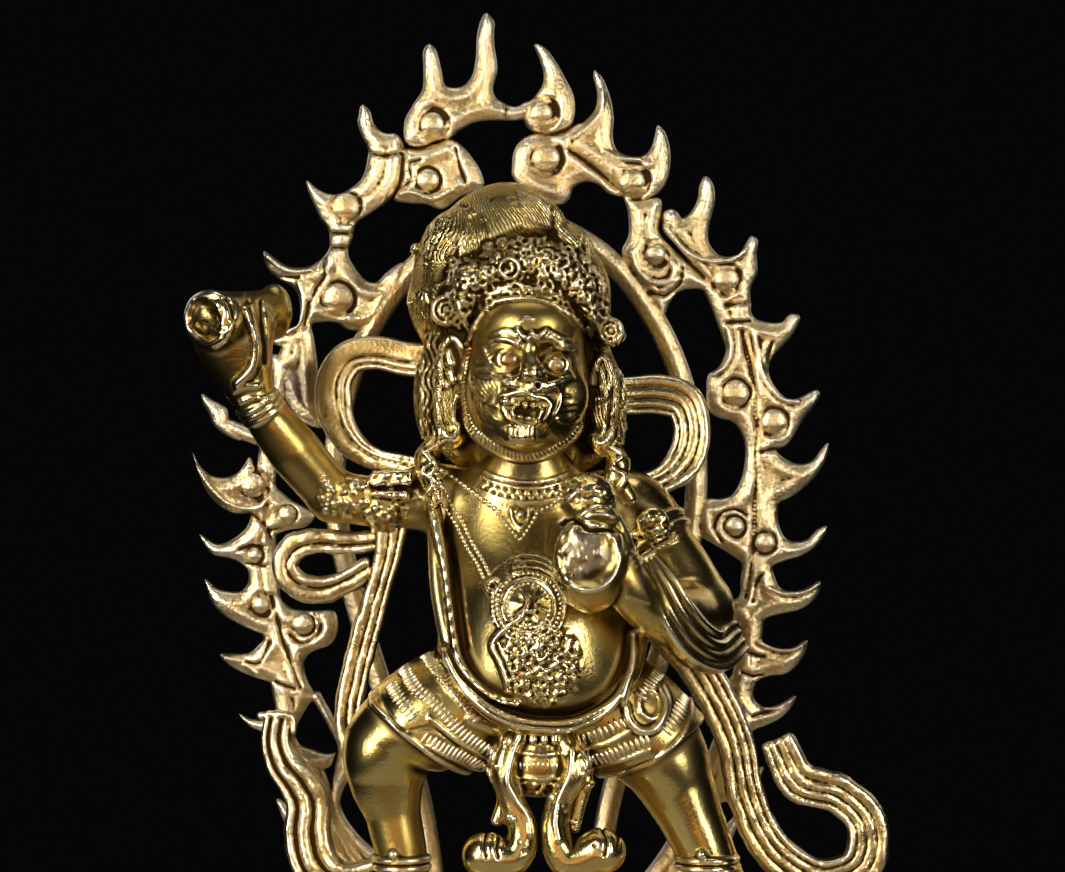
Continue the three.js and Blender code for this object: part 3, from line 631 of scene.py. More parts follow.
    def jewels(self, mask: np.ndarray, low: Point, high: Point, count: int, seed: int, tall: float = 0.75) -> None:
        """Scatters small lumps, short curls and rings over part of the canvas.

        Args:
            mask: where they may lie, 1 or 0 over the whole canvas.
            low: the part's lowest x and z.
            high: its highest x and z.
            count: how many are tried.
            seed: the seed of their places.
            tall: how far they stand up.
        """
        random = np.random.default_rng(seed)
        for spot in random.uniform(low, high, (count, 2)):
            at = np.searchsorted(self.x, spot[0]), np.searchsorted(self.z, spot[1])
            kind, size, lean = random.random(), random.uniform(0.32, 0.7), random.normal(0, 0.7, 2)
            if mask[at] < 0.9:
                continue
            if kind < 0.58:
                self.dot(spot, size, tall * (0.6 + 0.5 * size))
            elif kind < 0.88:
                self.cord([spot, spot + lean], size * 0.6, tall * 0.8, smooth=False)
            else:
                self.ring(spot, size * 1.1, 0.34, tall * 0.8)

    def wash(self, low: Point, high: Point, size: float, height: float, seed: int,
             mask: np.ndarray | None = None) -> None:
        """Lays a crumbled texture of small lumps over part of the canvas.

        Args:
            low: the part's lowest x and z.
            high: its highest x and z.
            size: how wide a lump is.
            height: how high the lumps stand.
            seed: the seed of their places.
            mask: how strongly the lumps show, over the whole canvas.
        """
        cut, x, z = self.patch(low, high)
        lumps = crumble(x, z, size, seed) * height
        self.height[cut] += (lumps if mask is None else lumps * mask[cut]).astype(np.float32)


def softened(values: np.ndarray, times: int) -> np.ndarray:
    """Wears sharp heights down by averaging each with its neighbours."""
    for _ in range(times):
        for axis in (0, 1):
            ahead, behind = np.roll(values, 1, axis), np.roll(values, -1, axis)
            values = 0.5 * values + 0.25 * (ahead + behind)
    return values


class Relief(Canvas):
    """Heights that are pressed into the front of a block of clay."""

    def __init__(self, clay: Clay, low: Point, high: Point) -> None:
        """Opens a window onto a block.

        Args:
            clay: the block.
            low: the window's lowest x and z.
            high: its highest x and z.
        """
        self.clay = clay
        self.cut = [slice(int(np.searchsorted(clay.axes[axis], lo)), int(np.searchsorted(clay.axes[axis], hi)))
                    for axis, lo, hi in ((0, low[0], high[0]), (2, low[1], high[1]))]
        super().__init__(clay.axes[0][self.cut[0]], clay.axes[2][self.cut[1]])

    def press(self, low: float, high: float, worn: int = 1) -> None:
        """Presses the heights, worn down a little, into the clay between two depths."""
        depth = self.clay.axes[1]
        cut = slice(int(np.searchsorted(depth, low)), int(np.searchsorted(depth, high)))
        self.clay.field[self.cut[0], cut, self.cut[1]] -= softened(self.height, worn)[:, None, :]


class Panel(Canvas):
    """A pierced plate, painted as its outline and the height of its front."""

    def __init__(self, low: Point, high: Point, pitch: float) -> None:
        """Opens an empty panel between two corners in the x-z plane."""
        self.pitch = pitch
        super().__init__(np.arange(low[0], high[0], pitch), np.arange(low[1], high[1], pitch))
        self.edge = np.full(self.height.shape, FAR, np.float32)

    def stroke(self, points: Iterable[Point], height: float, blend: float = 1.2, base: float = 0.0) -> None:
        """Adds a plump stroke that is as wide as its points say.

        Args:
            points: x, z and half width along its middle line.
            height: how high its crest stands.
            blend: how far its outline runs into what it meets.
            base: the height of its flat part, which its crest stands on.
        """
        line = smooth_line(points, 8)[0]
        widest = line[:, 2].max() + 3
        cut, away, walked, _ = self.along(line, widest, smooth=False)
        lengths = np.concatenate([[0], np.cumsum(np.linalg.norm(np.diff(line[:, :2], axis=0), axis=1))])
        half = np.interp(walked, lengths, line[:, 2])
        self.edge[cut] = soft_min(self.edge[cut], away - half, blend)
        share = np.clip(1 - (away / np.maximum(half, 0.1)) ** 2, 0, 1)
        crest = base * (share > 0) + (height - base) * np.sqrt(share) * np.minimum(half / 1.5, 1)
        self.height[cut] = np.maximum(self.height[cut], crest)

    def plate(self, outline: Iterable[Point], height: float, rim: float = 0.8, blend: float = 1.0) -> None:
        """Adds a flat plate inside a smooth closed outline, rounded off towards its rim."""
        cut, signed = self.region(outline, 4.0)
        self.edge[cut] = soft_min(self.edge[cut], signed, blend)
        self.height[cut] = np.maximum(self.height[cut], height * np.sqrt(np.clip(-signed / rim, 0, 1)))

    def hole(self, outline: Iterable[Point]) -> None:
        """Pierces the panel inside a smooth closed outline."""
        cut, signed = self.region(outline, 1.0)
        self.edge[cut] = np.maximum(self.edge[cut], -signed)

    def solid(self, middle: float, back: float, pitch: float) -> Clay:
        """Stands the panel up as a block of clay.

        Args:
            middle: the depth of the rim's front.
            back: the depth of its flat back.
            pitch: the sampling through its thickness, which is also the panel's own.

        Returns:
            The block.
        """
        clay = Clay((self.x[0], middle - self.height.max() - 1, self.z[0]),
                    (self.x[-1], back + 1, self.z[-1]), pitch)
        nx, nz = min(clay.field.shape[0], len(self.x)), min(clay.field.shape[2], len(self.z))
        depth = clay.axes[1][None, :, None].astype(np.float32)
        front = (middle - self.height[:nx, :nz])[:, None, :] - depth
        faces = -soft_min(-front * 0.85, np.broadcast_to(back - depth, front.shape), 0.4)
        edge = np.broadcast_to(self.edge[:nx, None, :nz], front.shape)
        clay.field[:nx, :, :nz] = -soft_min(-faces, -edge, 0.5)
        return clay


def crumble(x: np.ndarray, z: np.ndarray, size: float, seed: int) -> np.ndarray:
    """Gives lumpy values from -1 to 1 over an open grid, as waves crossing at seeded angles."""
    random = np.random.default_rng(seed)
    total = np.zeros(np.broadcast_shapes(x.shape, z.shape))
    for _ in range(7):
        angle, phase, stretch = random.uniform(0, math.pi), random.uniform(0, 6.28), random.uniform(0.7, 1.5)
        along = (x * math.cos(angle) + z * math.sin(angle)) * 2 * math.pi / (size * 2 * stretch)
        across = (z * math.cos(angle) - x * math.sin(angle)) * 2 * math.pi / (size * 3.1)
        total += np.sin(along + phase + 1.3 * np.sin(across))
    return np.clip(total / 2.6, -1, 1)


def paced(points: np.ndarray, pitch: float, smooth: bool = True) -> np.ndarray:
    """Places points at equal steps along a line.

    Args:
        points: the line's points.
        pitch: the step, stretched a little so that it divides the line's length.
        smooth: whether the line is a curve through its points.

    Returns:
        The points, the line's ends included.
    """
    line = smooth_line(points, 10)[0] if smooth else points
    walked = np.concatenate([[0], np.cumsum(np.linalg.norm(np.diff(line[:, :3], axis=0), axis=1))])
    count = max(2, int(round(walked[-1] / pitch)) + 1)
    at = np.linspace(0, walked[-1], count)
    return np.stack([np.interp(at, walked, line[:, i]) for i in range(line.shape[1])], 1)


def new_object(name: str, points: np.ndarray, faces: np.ndarray) -> bpy.types.Object:
    """Makes a mesh object of faces that all have the same number of corners."""
    mesh = bpy.data.meshes.new(name)
    corners = faces.shape[1]
    mesh.vertices.add(len(points))
    mesh.vertices.foreach_set("co", np.ascontiguousarray(points, np.float32).ravel())
    mesh.loops.add(faces.size)
    mesh.loops.foreach_set("vertex_index", np.ascontiguousarray(faces, np.int32).ravel())
    mesh.polygons.add(len(faces))
    mesh.polygons.foreach_set("loop_start", np.arange(0, faces.size, corners, dtype=np.int32))
    mesh.update(calc_edges=True)
    obj = bpy.data.objects.new(name, mesh)
    bpy.context.scene.collection.objects.link(obj)
    return obj


def applied(obj: bpy.types.Object) -> bpy.types.Object:
    """Turns what an object's modifiers make of it into its own plain mesh."""
    graph = bpy.context.evaluated_depsgraph_get()
    old = obj.data
    made = bpy.data.meshes.new_from_object(obj.evaluated_get(graph), preserve_all_data_layers=True,
                                           depsgraph=graph)
    obj.modifiers.clear()
    obj.data = made
    if old.users == 0:
        bpy.data.meshes.remove(old)
    return obj


def mark(obj: bpy.types.Object, label: str, values: np.ndarray) -> None:
    """Stores a number for each of an object's vertices."""
    attribute = obj.data.attributes.new(label, "FLOAT", "POINT")
    attribute.data.foreach_set("value", np.ascontiguousarray(values, np.float32))


def vertex_places(obj: bpy.types.Object) -> np.ndarray:
    """Reads an object's vertices, in millimetres."""
    co = np.empty(3 * len(obj.data.vertices), np.float32)
    obj.data.vertices.foreach_get("co", co)
    return co.reshape(-1, 3) / MM


@dataclass(frozen=True)
class Row:
    """A row of beads or strokes along a line on the front of a casting."""

    points: tuple[Point, ...]
    pitch: float = 1.0
    width: float = 0.5
    length: float = 0.5
    depth: float = 0.5
    sink: float = 0.1


class Strand:
    """The Geometry Nodes group that sets a bead or a stroke at every step along a line."""

    def __init__(self) -> None:
        """Builds the group."""
        self.tree = bpy.data.node_groups.new("strand of beads", "GeometryNodeTree")
        face = self.tree.interface
        face.new_socket(name="Geometry", in_out="INPUT", socket_type="NodeSocketGeometry")
        self.sockets = {}
        for label, kind in (("Pitch", "NodeSocketFloat"), ("Size", "NodeSocketVector"),
                            ("Turn", "NodeSocketFloat"), ("Seed", "NodeSocketInt"),
                            ("Finish", "NodeSocketMaterial")):
            self.sockets[label] = face.new_socket(name=label, in_out="INPUT", socket_type=kind).identifier
        face.new_socket(name="Geometry", in_out="OUTPUT", socket_type="NodeSocketGeometry")
        add, link = self.tree.nodes.new, self.tree.links.new
        start, end = add("NodeGroupInput"), add("NodeGroupOutput")
        curve, resample = add("GeometryNodeMeshToCurve"), add("GeometryNodeResampleCurve")
        resample.mode = "LENGTH"
        link(start.outputs["Geometry"], curve.inputs[0])
        link(curve.outputs[0], resample.inputs["Curve"])
        link(start.outputs["Pitch"], resample.inputs["Length"])
        facing = add("GeometryNodeInputNamedAttribute")
        facing.data_type = "FLOAT_VECTOR"
        facing.inputs["Name"].default_value = "facing"
        outward, onward, swing = (add("FunctionNodeAlignRotationToVector"), add("FunctionNodeAlignRotationToVector"),
                                  add("FunctionNodeRotateRotation"))
        outward.axis, onward.axis, onward.pivot_axis = "Z", "X", "Z"
        swing.rotation_space = "LOCAL"
        about = add("ShaderNodeCombineXYZ")
        link(facing.outputs["Attribute"], outward.inputs["Vector"])
        link(outward.outputs[0], onward.inputs["Rotation"])
        link(add("GeometryNodeInputTangent").outputs[0], onward.inputs["Vector"])
        link(start.outputs["Turn"], about.inputs["Z"])
        link(onward.outputs[0], swing.inputs["Rotation"])
        link(about.outputs[0], swing.inputs["Rotate By"])
        bead, place = add("GeometryNodeMeshUVSphere"), add("GeometryNodeInstanceOnPoints")
        bead.inputs["Segments"].default_value = 8
        bead.inputs["Rings"].default_value = 5
        bead.inputs["Radius"].default_value = 1.0
        uneven, scaled = add("FunctionNodeRandomValue"), add("ShaderNodeVectorMath")
        scaled.operation = "SCALE"
        uneven.inputs[2].default_value, uneven.inputs[3].default_value = 0.86, 1.1
        link(start.outputs["Seed"], uneven.inputs["Seed"])
        link(start.outputs["Size"], scaled.inputs[0])
        link(uneven.outputs[1], scaled.inputs["Scale"])
        link(resample.outputs[0], place.inputs["Points"])
        link(bead.outputs["Mesh"], place.inputs["Instance"])
        link(swing.outputs[0], place.inputs["Rotation"])
        link(scaled.outputs[0], place.inputs["Scale"])
        real, smooth, finish = (add("GeometryNodeRealizeInstances"), add("GeometryNodeSetShadeSmooth"),
                                add("GeometryNodeSetMaterial"))
        link(place.outputs[0], real.inputs[0])
        link(real.outputs[0], smooth.inputs[0])
        link(smooth.outputs[0], finish.inputs["Geometry"])
        link(start.outputs["Finish"], finish.inputs["Material"])
        link(finish.outputs[0], end.inputs[0])

    def lay(self, name: str, clay: Clay, rows: Iterable[Row], material: bpy.types.Material,
            turn: float = 0.0) -> bpy.types.Object:
        """Lays rows, which all share the first one's pitch and sizes, on the front of a casting.

        Args:
            name: the object's name.
            clay: the casting.
            rows: the rows.
            material: the beads' material.
            turn: the beads' turn about the surface's normal.

        Returns:
            The rows as a plain mesh object.
        """
        rows = list(rows)
        points, edges, facings, count = [], [], [], 0
        for row in rows:
            flat = paced(np.array(row.points, float), row.pitch / 2)
            depth = clay.front(flat[:, 0], flat[:, 1])
            keep = np.isfinite(depth)
            spots = np.stack([flat[:, 0], depth, flat[:, 1]], 1)[keep]
            if len(spots) < 2:
                continue
            normal = clay.facing(spots)
            points.append(spots - normal * row.sink)
            facings.append(normal)
            edges.append(np.stack([np.arange(len(spots) - 1), np.arange(1, len(spots))], 1) + count)
            count += len(spots)
        mesh = bpy.data.meshes.new(name)
        mesh.from_pydata((np.vstack(points) * MM).tolist(), np.vstack(edges).tolist(), [])
        attribute = mesh.attributes.new("facing", "FLOAT_VECTOR", "POINT")
        attribute.data.foreach_set("vector", np.ascontiguousarray(np.vstack(facings), np.float32).ravel())
        obj = bpy.data.objects.new(name, mesh)
        bpy.context.scene.collection.objects.link(obj)
        first = rows[0]
        modifier = obj.modifiers.new("strand", "NODES")
        modifier.node_group = self.tree
        for label, value in (("Pitch", first.pitch * MM), ("Turn", turn), ("Seed", SEED), ("Finish", material),
                             ("Size", (first.length * MM, first.width * MM, first.depth * MM))):
            modifier[self.sockets[label]] = value
        return applied(obj)


@dataclass
class Aureole:
    """The pierced flaming arch behind the figure, with its scroll pads and inner ring."""

    pitch: float = 0.25
    rim_depth: float = 16.0
    back_depth: float = 17.55
    spring: tuple[float, float] = (-6.6, 110.0)
    half_width: float = 52.8
    rise: float = 78.0
    drop: float = 99.0
    pointedness: float = 1.75
    band_half: float = 2.9
    ring_x: float = -6.0
    ring_half: float = 2.3
    ring_line: tuple[Point, ...] = ((16, 23), (20, 47), (30, 76), (37, 106), (35.5, 126), (29, 143), (18, 157),
                                    (0, 167))
    # Outlines of the flat plates, each a run of flames with its pads
    plates: tuple[tuple[Point, ...], ...] = (
        # The top, with its two tall flames
        ((-29, 182.5), (-28.6, 185), (-26.6, 188.5), (-25.1, 191), (-24.9, 195), (-24.9, 199), (-23.8, 200.3),
         (-22.5, 199.4), (-21.2, 195), (-20.5, 192), (-19, 191.3), (-16.8, 191.7), (-15, 193.6), (-14.2, 197),
         (-13.9, 202), (-13, 205.5), (-12, 206.7), (-10.3, 204.7), (-10.4, 203), (-10.3, 200), (-9.7, 195),
         (-10.6, 191), (-10, 189.3), (-8, 188), (-6, 187.4), (-3.4, 188.4), (-3, 185.4), (-6, 184.6), (-10, 184.6),
         (-14, 184.2), (-17, 182.8), (-19.4, 181), (-22.4, 180.2), (-26, 179), (-28.4, 180)),
        ((-4.6, 186), (-4, 187.9), (-2, 189.5), (-0.4, 192), (-0.2, 194), (-1, 197), (-2.1, 200.3), (0.2, 199.4),
         (2.4, 196.5), (4.4, 193), (6, 189.5), (6.2, 186), (5.4, 183.4), (3, 182.2), (0, 181.6), (-3.4, 183)),
        ((-31, 168.4), (-29.4, 172.6), (-29.4, 178.6), (-26, 178.8), (-22, 180), (-19.4, 180.8), (-16.8, 179.2),
         (-14.6, 176.6), (-13, 173.8), (-12.6, 171), (-17, 169), (-21, 166.4), (-24.6, 167.4), (-28, 167.6)),
        ((-6.8, 173.6), (-6.4, 178), (-5, 180.4), (-2.4, 181.8), (1.4, 182), (4, 182.4), (7.4, 184), (6.4, 180),
         (8.8, 176.6), (12.8, 172.8), (16.4, 169), (13.2, 169.6), (11, 171.4), (8.4, 172), (6, 170.8), (5, 168.4),
         (3.6, 167.4), (0, 168), (-4, 170)),
        ((10.3, 195), (11.8, 193.4), (13.4, 189.6), (14.2, 185), (14, 181), (14.8, 178.6), (17, 177.4), (19.6, 177.2),
         (21.6, 178.6), (22.6, 181.4), (23.2, 183.7), (24.8, 182), (25.8, 178), (25.6, 174), (24.4, 170.8),
         (22.4, 169), (20, 168.2), (17, 168.4), (13.4, 172), (9.6, 175.4), (5.4, 178.4), (4.9, 180.2), (6, 182.6),
         (8.6, 184.8), (10.4, 187), (10.8, 190), (10, 193.6)),
        # Down the right side
        ((16.2, 169.4), (19, 168.2), (23.6, 168.6), (24, 165), (23.4, 162), (26, 158.6), (30.8, 154.2), (36, 149.4),
         (38.6, 148.6), (37.6, 146.4), (35.6, 147.4), (33.4, 149.4), (31, 150), (27.6, 149.4), (25.6, 147),
         (24.4, 144.4), (22, 146.4), (19.4, 150), (16.4, 154.4), (15.9, 158), (17.2, 161), (17, 166)),
        ((24.2, 163.4), (25.6, 164.2), (28, 164.4), (30, 165.8), (31.4, 168.4), (31.8, 171.2), (33, 173.2),
         (34.5, 171.6), (35, 168.6), (34.4, 165.4), (33.6, 162.4), (33.7, 159.6), (35.4, 157.3), (37.6, 156.6),
         (39.8, 157.2), (41.4, 159.4), (42.4, 160.9), (43.7, 160.1), (43.5, 157), (43.6, 153), (42.4, 150.4),
         (41.8, 147.6), (38.6, 147), (36, 148.6), (34.2, 151.6), (31, 155), (28.4, 157.4), (26.2, 159.8),
         (24.4, 161.8)),
        ((37.4, 142.6), (37.4, 144.8), (38, 148.4), (42, 148.4), (42.6, 144.6), (44.6, 143.4), (48.6, 143.2),
         (50.4, 144.8), (52.4, 144.4), (51.4, 141.4), (49.2, 138.6), (46.6, 135.6), (46, 132.8), (47.2, 130),
         (49.2, 127.8), (51.4, 127.4), (53.6, 128.4), (55.8, 129.3), (56.5, 128.4), (55.6, 126.4), (53.4, 123.6),
         (51.4, 120.4), (49.8, 118), (47.6, 116.8), (50.6, 114.5), (53.2, 114.1), (55.2, 115), (57, 117.3),
         (58.2, 118.5), (57.9, 115.6), (55.8, 111.8), (52.8, 108.8), (50.6, 107.3), (48.2, 106), (47.8, 103.4),
         (48.4, 100.6), (49.6, 98.7), (51.6, 98.1), (54, 98.7), (56.4, 100.9), (57.9, 101.3), (57.6, 99.6),
         (55.6, 97), (52.6, 95.2), (49.4, 94.2), (46.8, 93), (47.2, 91), (48.4, 88.6), (51.4, 87.9), (54.4, 88.8),
         (56.4, 90.1), (56.6, 88.4), (55.2, 86), (52.4, 84.2), (48.6, 83.3), (45.6, 82.4), (44, 80.6), (43.8, 78.6),
         (45.6, 77), (48.6, 76.1), (51.4, 76.5), (53.9, 78), (53.7, 76), (51.8, 72.8), (49.4, 71), (46.4, 70.6),
         (43.8, 69.6), (42.8, 67.4), (43.4, 65.2), (45.6, 64.1), (48.4, 64.8), (51.6, 66.5), (50.7, 64.2),
         (48.4, 61.9), (45.4, 60.4), (42.8, 59.2), (42.2, 56.4), (43.2, 54), (42, 50), (38, 50), (39, 54),
         (39.6, 59), (38.4, 63.6), (38.4, 67), (36, 68.8), (39.2, 71), (40.2, 74), (40.4, 78), (39.8, 81),
         (38.4, 82.4), (36.2, 83.2), (38, 85.6), (40, 87), (40.2, 90), (40.4, 93.6), (38.6, 95.2), (34, 98),
         (31.6, 99.6), (31.4, 106.2), (34, 107), (36.4, 107), (38.6, 107.9), (40.2, 110.6), (41, 114), (41.1, 118),
         (39.8, 121.4), (38.4, 122.8), (35.6, 123.6), (33.4, 125.4), (33.2, 129), (33.6, 132.4), (35.6, 133.8),
         (37, 136.4), (37.5, 139.6)),
        # Down the left side
        ((-38.4, 184.5), (-37.5, 187.9), (-35.9, 186.6), (-35, 183.8), (-32.8, 182), (-30.4, 181.8), (-29, 179.6),
         (-28.9, 176), (-29.6, 172), (-31.8, 168.5), (-35.6, 165.6), (-38.6, 163.6), (-39.6, 160), (-40.4, 157.4),
         (-39, 154.4), (-36.6, 151.8), (-34.6, 151.4), (-32, 153.8), (-29, 155.4), (-28.4, 150), (-31.6, 146.6),
         (-33, 143.6), (-36.6, 141.6), (-40.4, 141.6), (-42.6, 143), (-45.6, 143.2), (-47.8, 142.6), (-47.4, 140),
         (-46.6, 134), (-46.4, 128), (-45.6, 121.6), (-49, 122.2), (-52.6, 125.6), (-54.4, 130.4), (-55.6, 130.8),
         (-56.4, 134), (-56, 136.5), (-54.4, 136.6), (-53, 137.6), (-56, 139), (-53, 141.5), (-50.6, 142.6),
         (-50.1, 145.4), (-50.6, 148.6), (-52, 150.6), (-54.5, 152), (-57, 154.4), (-57.6, 157.8), (-55.6, 156.5),
         (-53, 154.8), (-50, 154.4), (-48, 154.8), (-45.6, 156.4), (-44.2, 158.6), (-44.6, 162.6), (-46, 164.4),
         (-47.2, 167), (-48.4, 169.6), (-48.9, 172.3), (-47, 170.8), (-45, 169.7), (-43, 169.4), (-40.2, 170.4),
         (-37.5, 172.8), (-36.5, 176), (-36.3, 179), (-37.6, 181.5)),
        ((-70.4, 128.6), (-68.2, 127.2), (-65.3, 125.4), (-64.8, 123), (-63.2, 120.9), (-62.3, 118.9), (-65, 119.7),
         (-67.8, 121.9), (-69, 124.5), (-70.2, 126.6)),
        ((-72.6, 117.1), (-70.9, 113.8), (-68.6, 111.8), (-66, 111.3), (-63.2, 112.1), (-61.6, 114), (-60.6, 115.5),
         (-59.6, 113.6), (-58.4, 111.8), (-56.4, 110.4), (-52.4, 107), (-47.2, 103.4), (-49, 101.2), (-53, 100.4),
         (-56.4, 98.6), (-57, 94), (-56.6, 90.4), (-54.6, 86.6), (-52, 84.5), (-49.6, 84), (-47, 83.9), (-43.2, 83.8),
         (-42.5, 79.6), (-44, 77), (-46.6, 76), (-48.4, 75), (-49.4, 73.2), (-49, 70.4), (-47.6, 67.6), (-44.4, 64),
         (-42.8, 59), (-44, 52), (-50, 52), (-55, 56), (-57.4, 58.7), (-60.6, 60.3), (-62.8, 62.8), (-60.4, 61.7),
         (-57, 61.6), (-53.4, 62.6), (-52.4, 64.6), (-54.4, 67.2), (-56.4, 69.2), (-59.4, 70.2), (-62.6, 71.5),
         (-65.2, 73.1), (-66.7, 74.9), (-64, 75.1), (-60.6, 75.3), (-58.8, 76.8), (-57.2, 78.7), (-59, 79.5),
         (-62, 80.8), (-65.4, 82.7), (-68, 85.1), (-69.2, 88), (-69.7, 90.5), (-67.6, 88.7), (-64.6, 87.9),
         (-62.2, 88), (-61, 89.4), (-61, 92.2), (-62.6, 93.8), (-65, 94.8), (-68, 95.4), (-69.7, 97.2), (-70.9, 99.7),
         (-69, 98.5), (-67.4, 97.7), (-65.6, 97.9), (-62.4, 99.8), (-61, 101.4), (-60.4, 103.7), (-63.6, 103.9),
         (-66.8, 105.5), (-69.4, 108.5), (-70.7, 111.6)),
    )
    holes: tuple[tuple[Point, ...], ...] = (
        ((-49.8, 62.4), (-47.6, 65.4), (-45.8, 64.4), (-43.6, 61.6), (-42.2, 58.8), (-42.2, 55.4), (-44.6, 54.6),
         (-48, 55.6), (-50.4, 56.6), (-51.2, 58.6)),
        ((-41.6, 47.4), (-40, 48.6), (-37.6, 46.4), (-36.2, 43.6), (-35.8, 39.4), (-38.6, 38.8), (-41.4, 41.2),
         (-42, 44.4)),
    )
    # Narrow runs of casting, with their half widths
    strips: tuple[tuple[Point, ...], ...] = (
        ((-46.8, 66.4, 1.0), (-43.6, 60.4, 0.9), (-41, 56, 1.5), (-41, 51.6, 2.1), (-42.2, 48.6, 1.4),
         (-42.8, 44, 0.9), (-40, 37.8, 1.4), (-36, 33.6, 1.6)),
        ((-65, 122, 1.3), (-60, 119.8, 1.6), (-54, 118.6, 1.9), (-48, 118, 2.0)))
    # Balls: x, z, radius, and the radius of the pocket round them
    balls: tuple[Point, ...] = (
        (-23.1, 183.6, 2.6, 4.0), (-0.8, 185.9, 2.4, 4.1), (17.9, 172, 2.7, 4.2), (37.2, 151.9, 2.6, 3.7),
        (47, 122.7, 2.7, 3.6), (45.2, 97.9, 2.1, 2.9), (-40.9, 166.7, 2.9, 3.9), (-59.8, 109.6, 2.5, 3.9),
        (-58.2, 85.2, 1.9, 3.0), (-59.3, 95.4, 1.5, 2.2), (-24, 172.2, 2.4, 3.2), (0.2, 176.8, 2.9, 4.2),
        (22.7, 157, 2.1, 3.3), (39, 128.5, 2.8, 3.7), (38.9, 101.2, 2.0, 2.8), (-42.4, 147.9, 3.2, 4.1),
        (-52.7, 103.6, 2.0, 2.4), (-49.5, 81.2, 2.2, 2.9),
    )
    # Engraved lines between one layer and the next, each with its half width
    grooves: tuple[tuple[float, tuple[Point, ...]], ...] = (
        (0.9, ((-29.8, 181.8), (-28.9, 177.6), (-29.8, 172), (-31.8, 168.4))),
        (0.8, ((-29.4, 179.2), (-26, 178.4), (-22, 179.6), (-18.6, 180.9))),
        (0.5, ((-29.6, 170.6), (-27.4, 172.4), (-27.8, 175.6), (-25.4, 176.4))),
        (0.5, ((-18.2, 178.8), (-17.4, 175), (-16.2, 171.8))),
        (0.6, ((-8, 184.6), (-7.7, 188.2))),
        (0.9, ((-5, 184.6), (-3, 182.3), (0, 181.4), (4, 182.2), (7, 184.8))),
        (0.8, ((4.9, 178.3), (8, 176.2), (11.6, 173.2), (15.4, 169.4))),
        (0.9, ((24, 166), (23.7, 162.4), (25.6, 159.2), (28.6, 156.2), (31.6, 153.6), (34.6, 150.4))),
        (0.7, ((28.4, 154.4), (27.6, 150.8), (24.6, 148.6), (21.6, 149.2))),
        (1.0, ((40.2, 141), (41.3, 137), (42.5, 132), (43.1, 126), (43.3, 120), (43.2, 112), (43, 104), (42.8, 98),
               (42.2, 92), (41.2, 87))),
        (0.6, ((46.6, 139), (46, 136), (46.8, 133))),
        (0.5, ((37.2, 146.6), (42.4, 147.2))), (0.5, ((37.2, 143), (42.2, 143.4))),
        (0.5, ((-45, 161.4), (-39.4, 161.2))), (0.5, ((-44.6, 158.6), (-40, 158.2))),
        (0.5, ((-36.6, 178), (-33, 177.2), (-29.4, 177.8))),
        (0.8, ((-45.4, 156), (-45.2, 152.6), (-47, 149.6), (-48.4, 146), (-49.2, 142.4))),
        (0.5, ((-57, 152.6), (-53.6, 152.4), (-50.4, 152.2))),
        (0.8, ((-55.8, 87), (-54.7, 82.4), (-54, 78.8), (-52.6, 75.2), (-51.4, 71.6), (-50.2, 68.4))),
        (0.5, ((-62.6, 96.6), (-59.8, 97.5), (-57.2, 97))), (0.5, ((-61.2, 93.6), (-57, 93.2))),
        (0.6, ((-56.4, 100.4), (-53, 101), (-48.6, 101.6))), (0.5, ((-60.8, 104), (-57.6, 102), (-56, 99))),
        (0.5, ((-55, 69.4), (-51.2, 68))), (0.5, ((-62, 73.6), (-58.6, 73.4), (-56.4, 77.6))),
        (0.6, ((-47, 83.4), (-45.9, 81), (-47, 78.6), (-49.8, 77.4), (-52.2, 79))),
        (0.5, ((36.2, 98.2), (34.8, 101), (36.2, 104), (39, 104.8), (41.4, 103.6))),
        (0.6, ((44.4, 116.6), (47.4, 117.2), (50, 116.4))), (0.6, ((44.6, 91.4), (43.2, 89.4), (42.6, 86))),
        (0.6, ((40.6, 76), (43, 75), (45, 74.6))), (0.5, ((40.4, 71.4), (42.8, 70.6), (44.8, 70.8))),
        (0.5, ((42.6, 62.4), (45.6, 63.4), (49, 64.8))),
    )
    # Rolled rims, each with its half width
    rims: tuple[tuple[float, tuple[Point, ...]], ...] = (
        (0.8, ((25, 162.4), (27.6, 158.8), (30.6, 156.6), (34.6, 155.6), (38, 155.8), (41, 157.6))),
        (0.8, ((42.8, 141.6), (43.6, 137), (44.6, 132.6), (46.6, 129.4), (49, 127.2), (52, 126.8))),
        (0.7, ((37.6, 141.4), (38.2, 137.6), (37.2, 134.4), (34.6, 132.4))),
        (0.8, ((-50.4, 151.4), (-49.4, 148), (-50, 143.6), (-52.6, 141))),
        (0.7, ((-56.8, 156.6), (-54.4, 154.6), (-51.4, 153.4), (-47.8, 153.8))),
        (0.7, ((-71.2, 113.4), (-68.6, 109.6), (-65.4, 106.4), (-61.4, 104.9), (-58, 105.4), (-57, 107.4))),
        (0.6, ((43.6, 77.6), (46.8, 76.4), (50.4, 76), (52.8, 77))), (0.6, ((45.4, 88.8), (49, 87.5), (53.4, 88), (56, 89.4))),
        (0.6, ((44.8, 64), (47.4, 64.1), (50.4, 65.6))), (0.6, ((-65.6, 74.4), (-62, 73.6), (-59, 71.2))),
        (0.6, ((6.2, 181), (9.2, 183.4), (11.6, 186.4), (11.9, 190.6))), (0.7, ((12, 178.2), (15.4, 176.6), (19.4, 176.4))),
        (0.9, ((24.6, 156.8), (26.6, 154.2), (25.6, 151.6), (22.4, 151.2), (19, 153.8), (17.8, 157.6))),
        (0.6, ((-29.6, 169.4), (-27.4, 169.8), (-23, 168.4), (-19, 170.2))),
    )

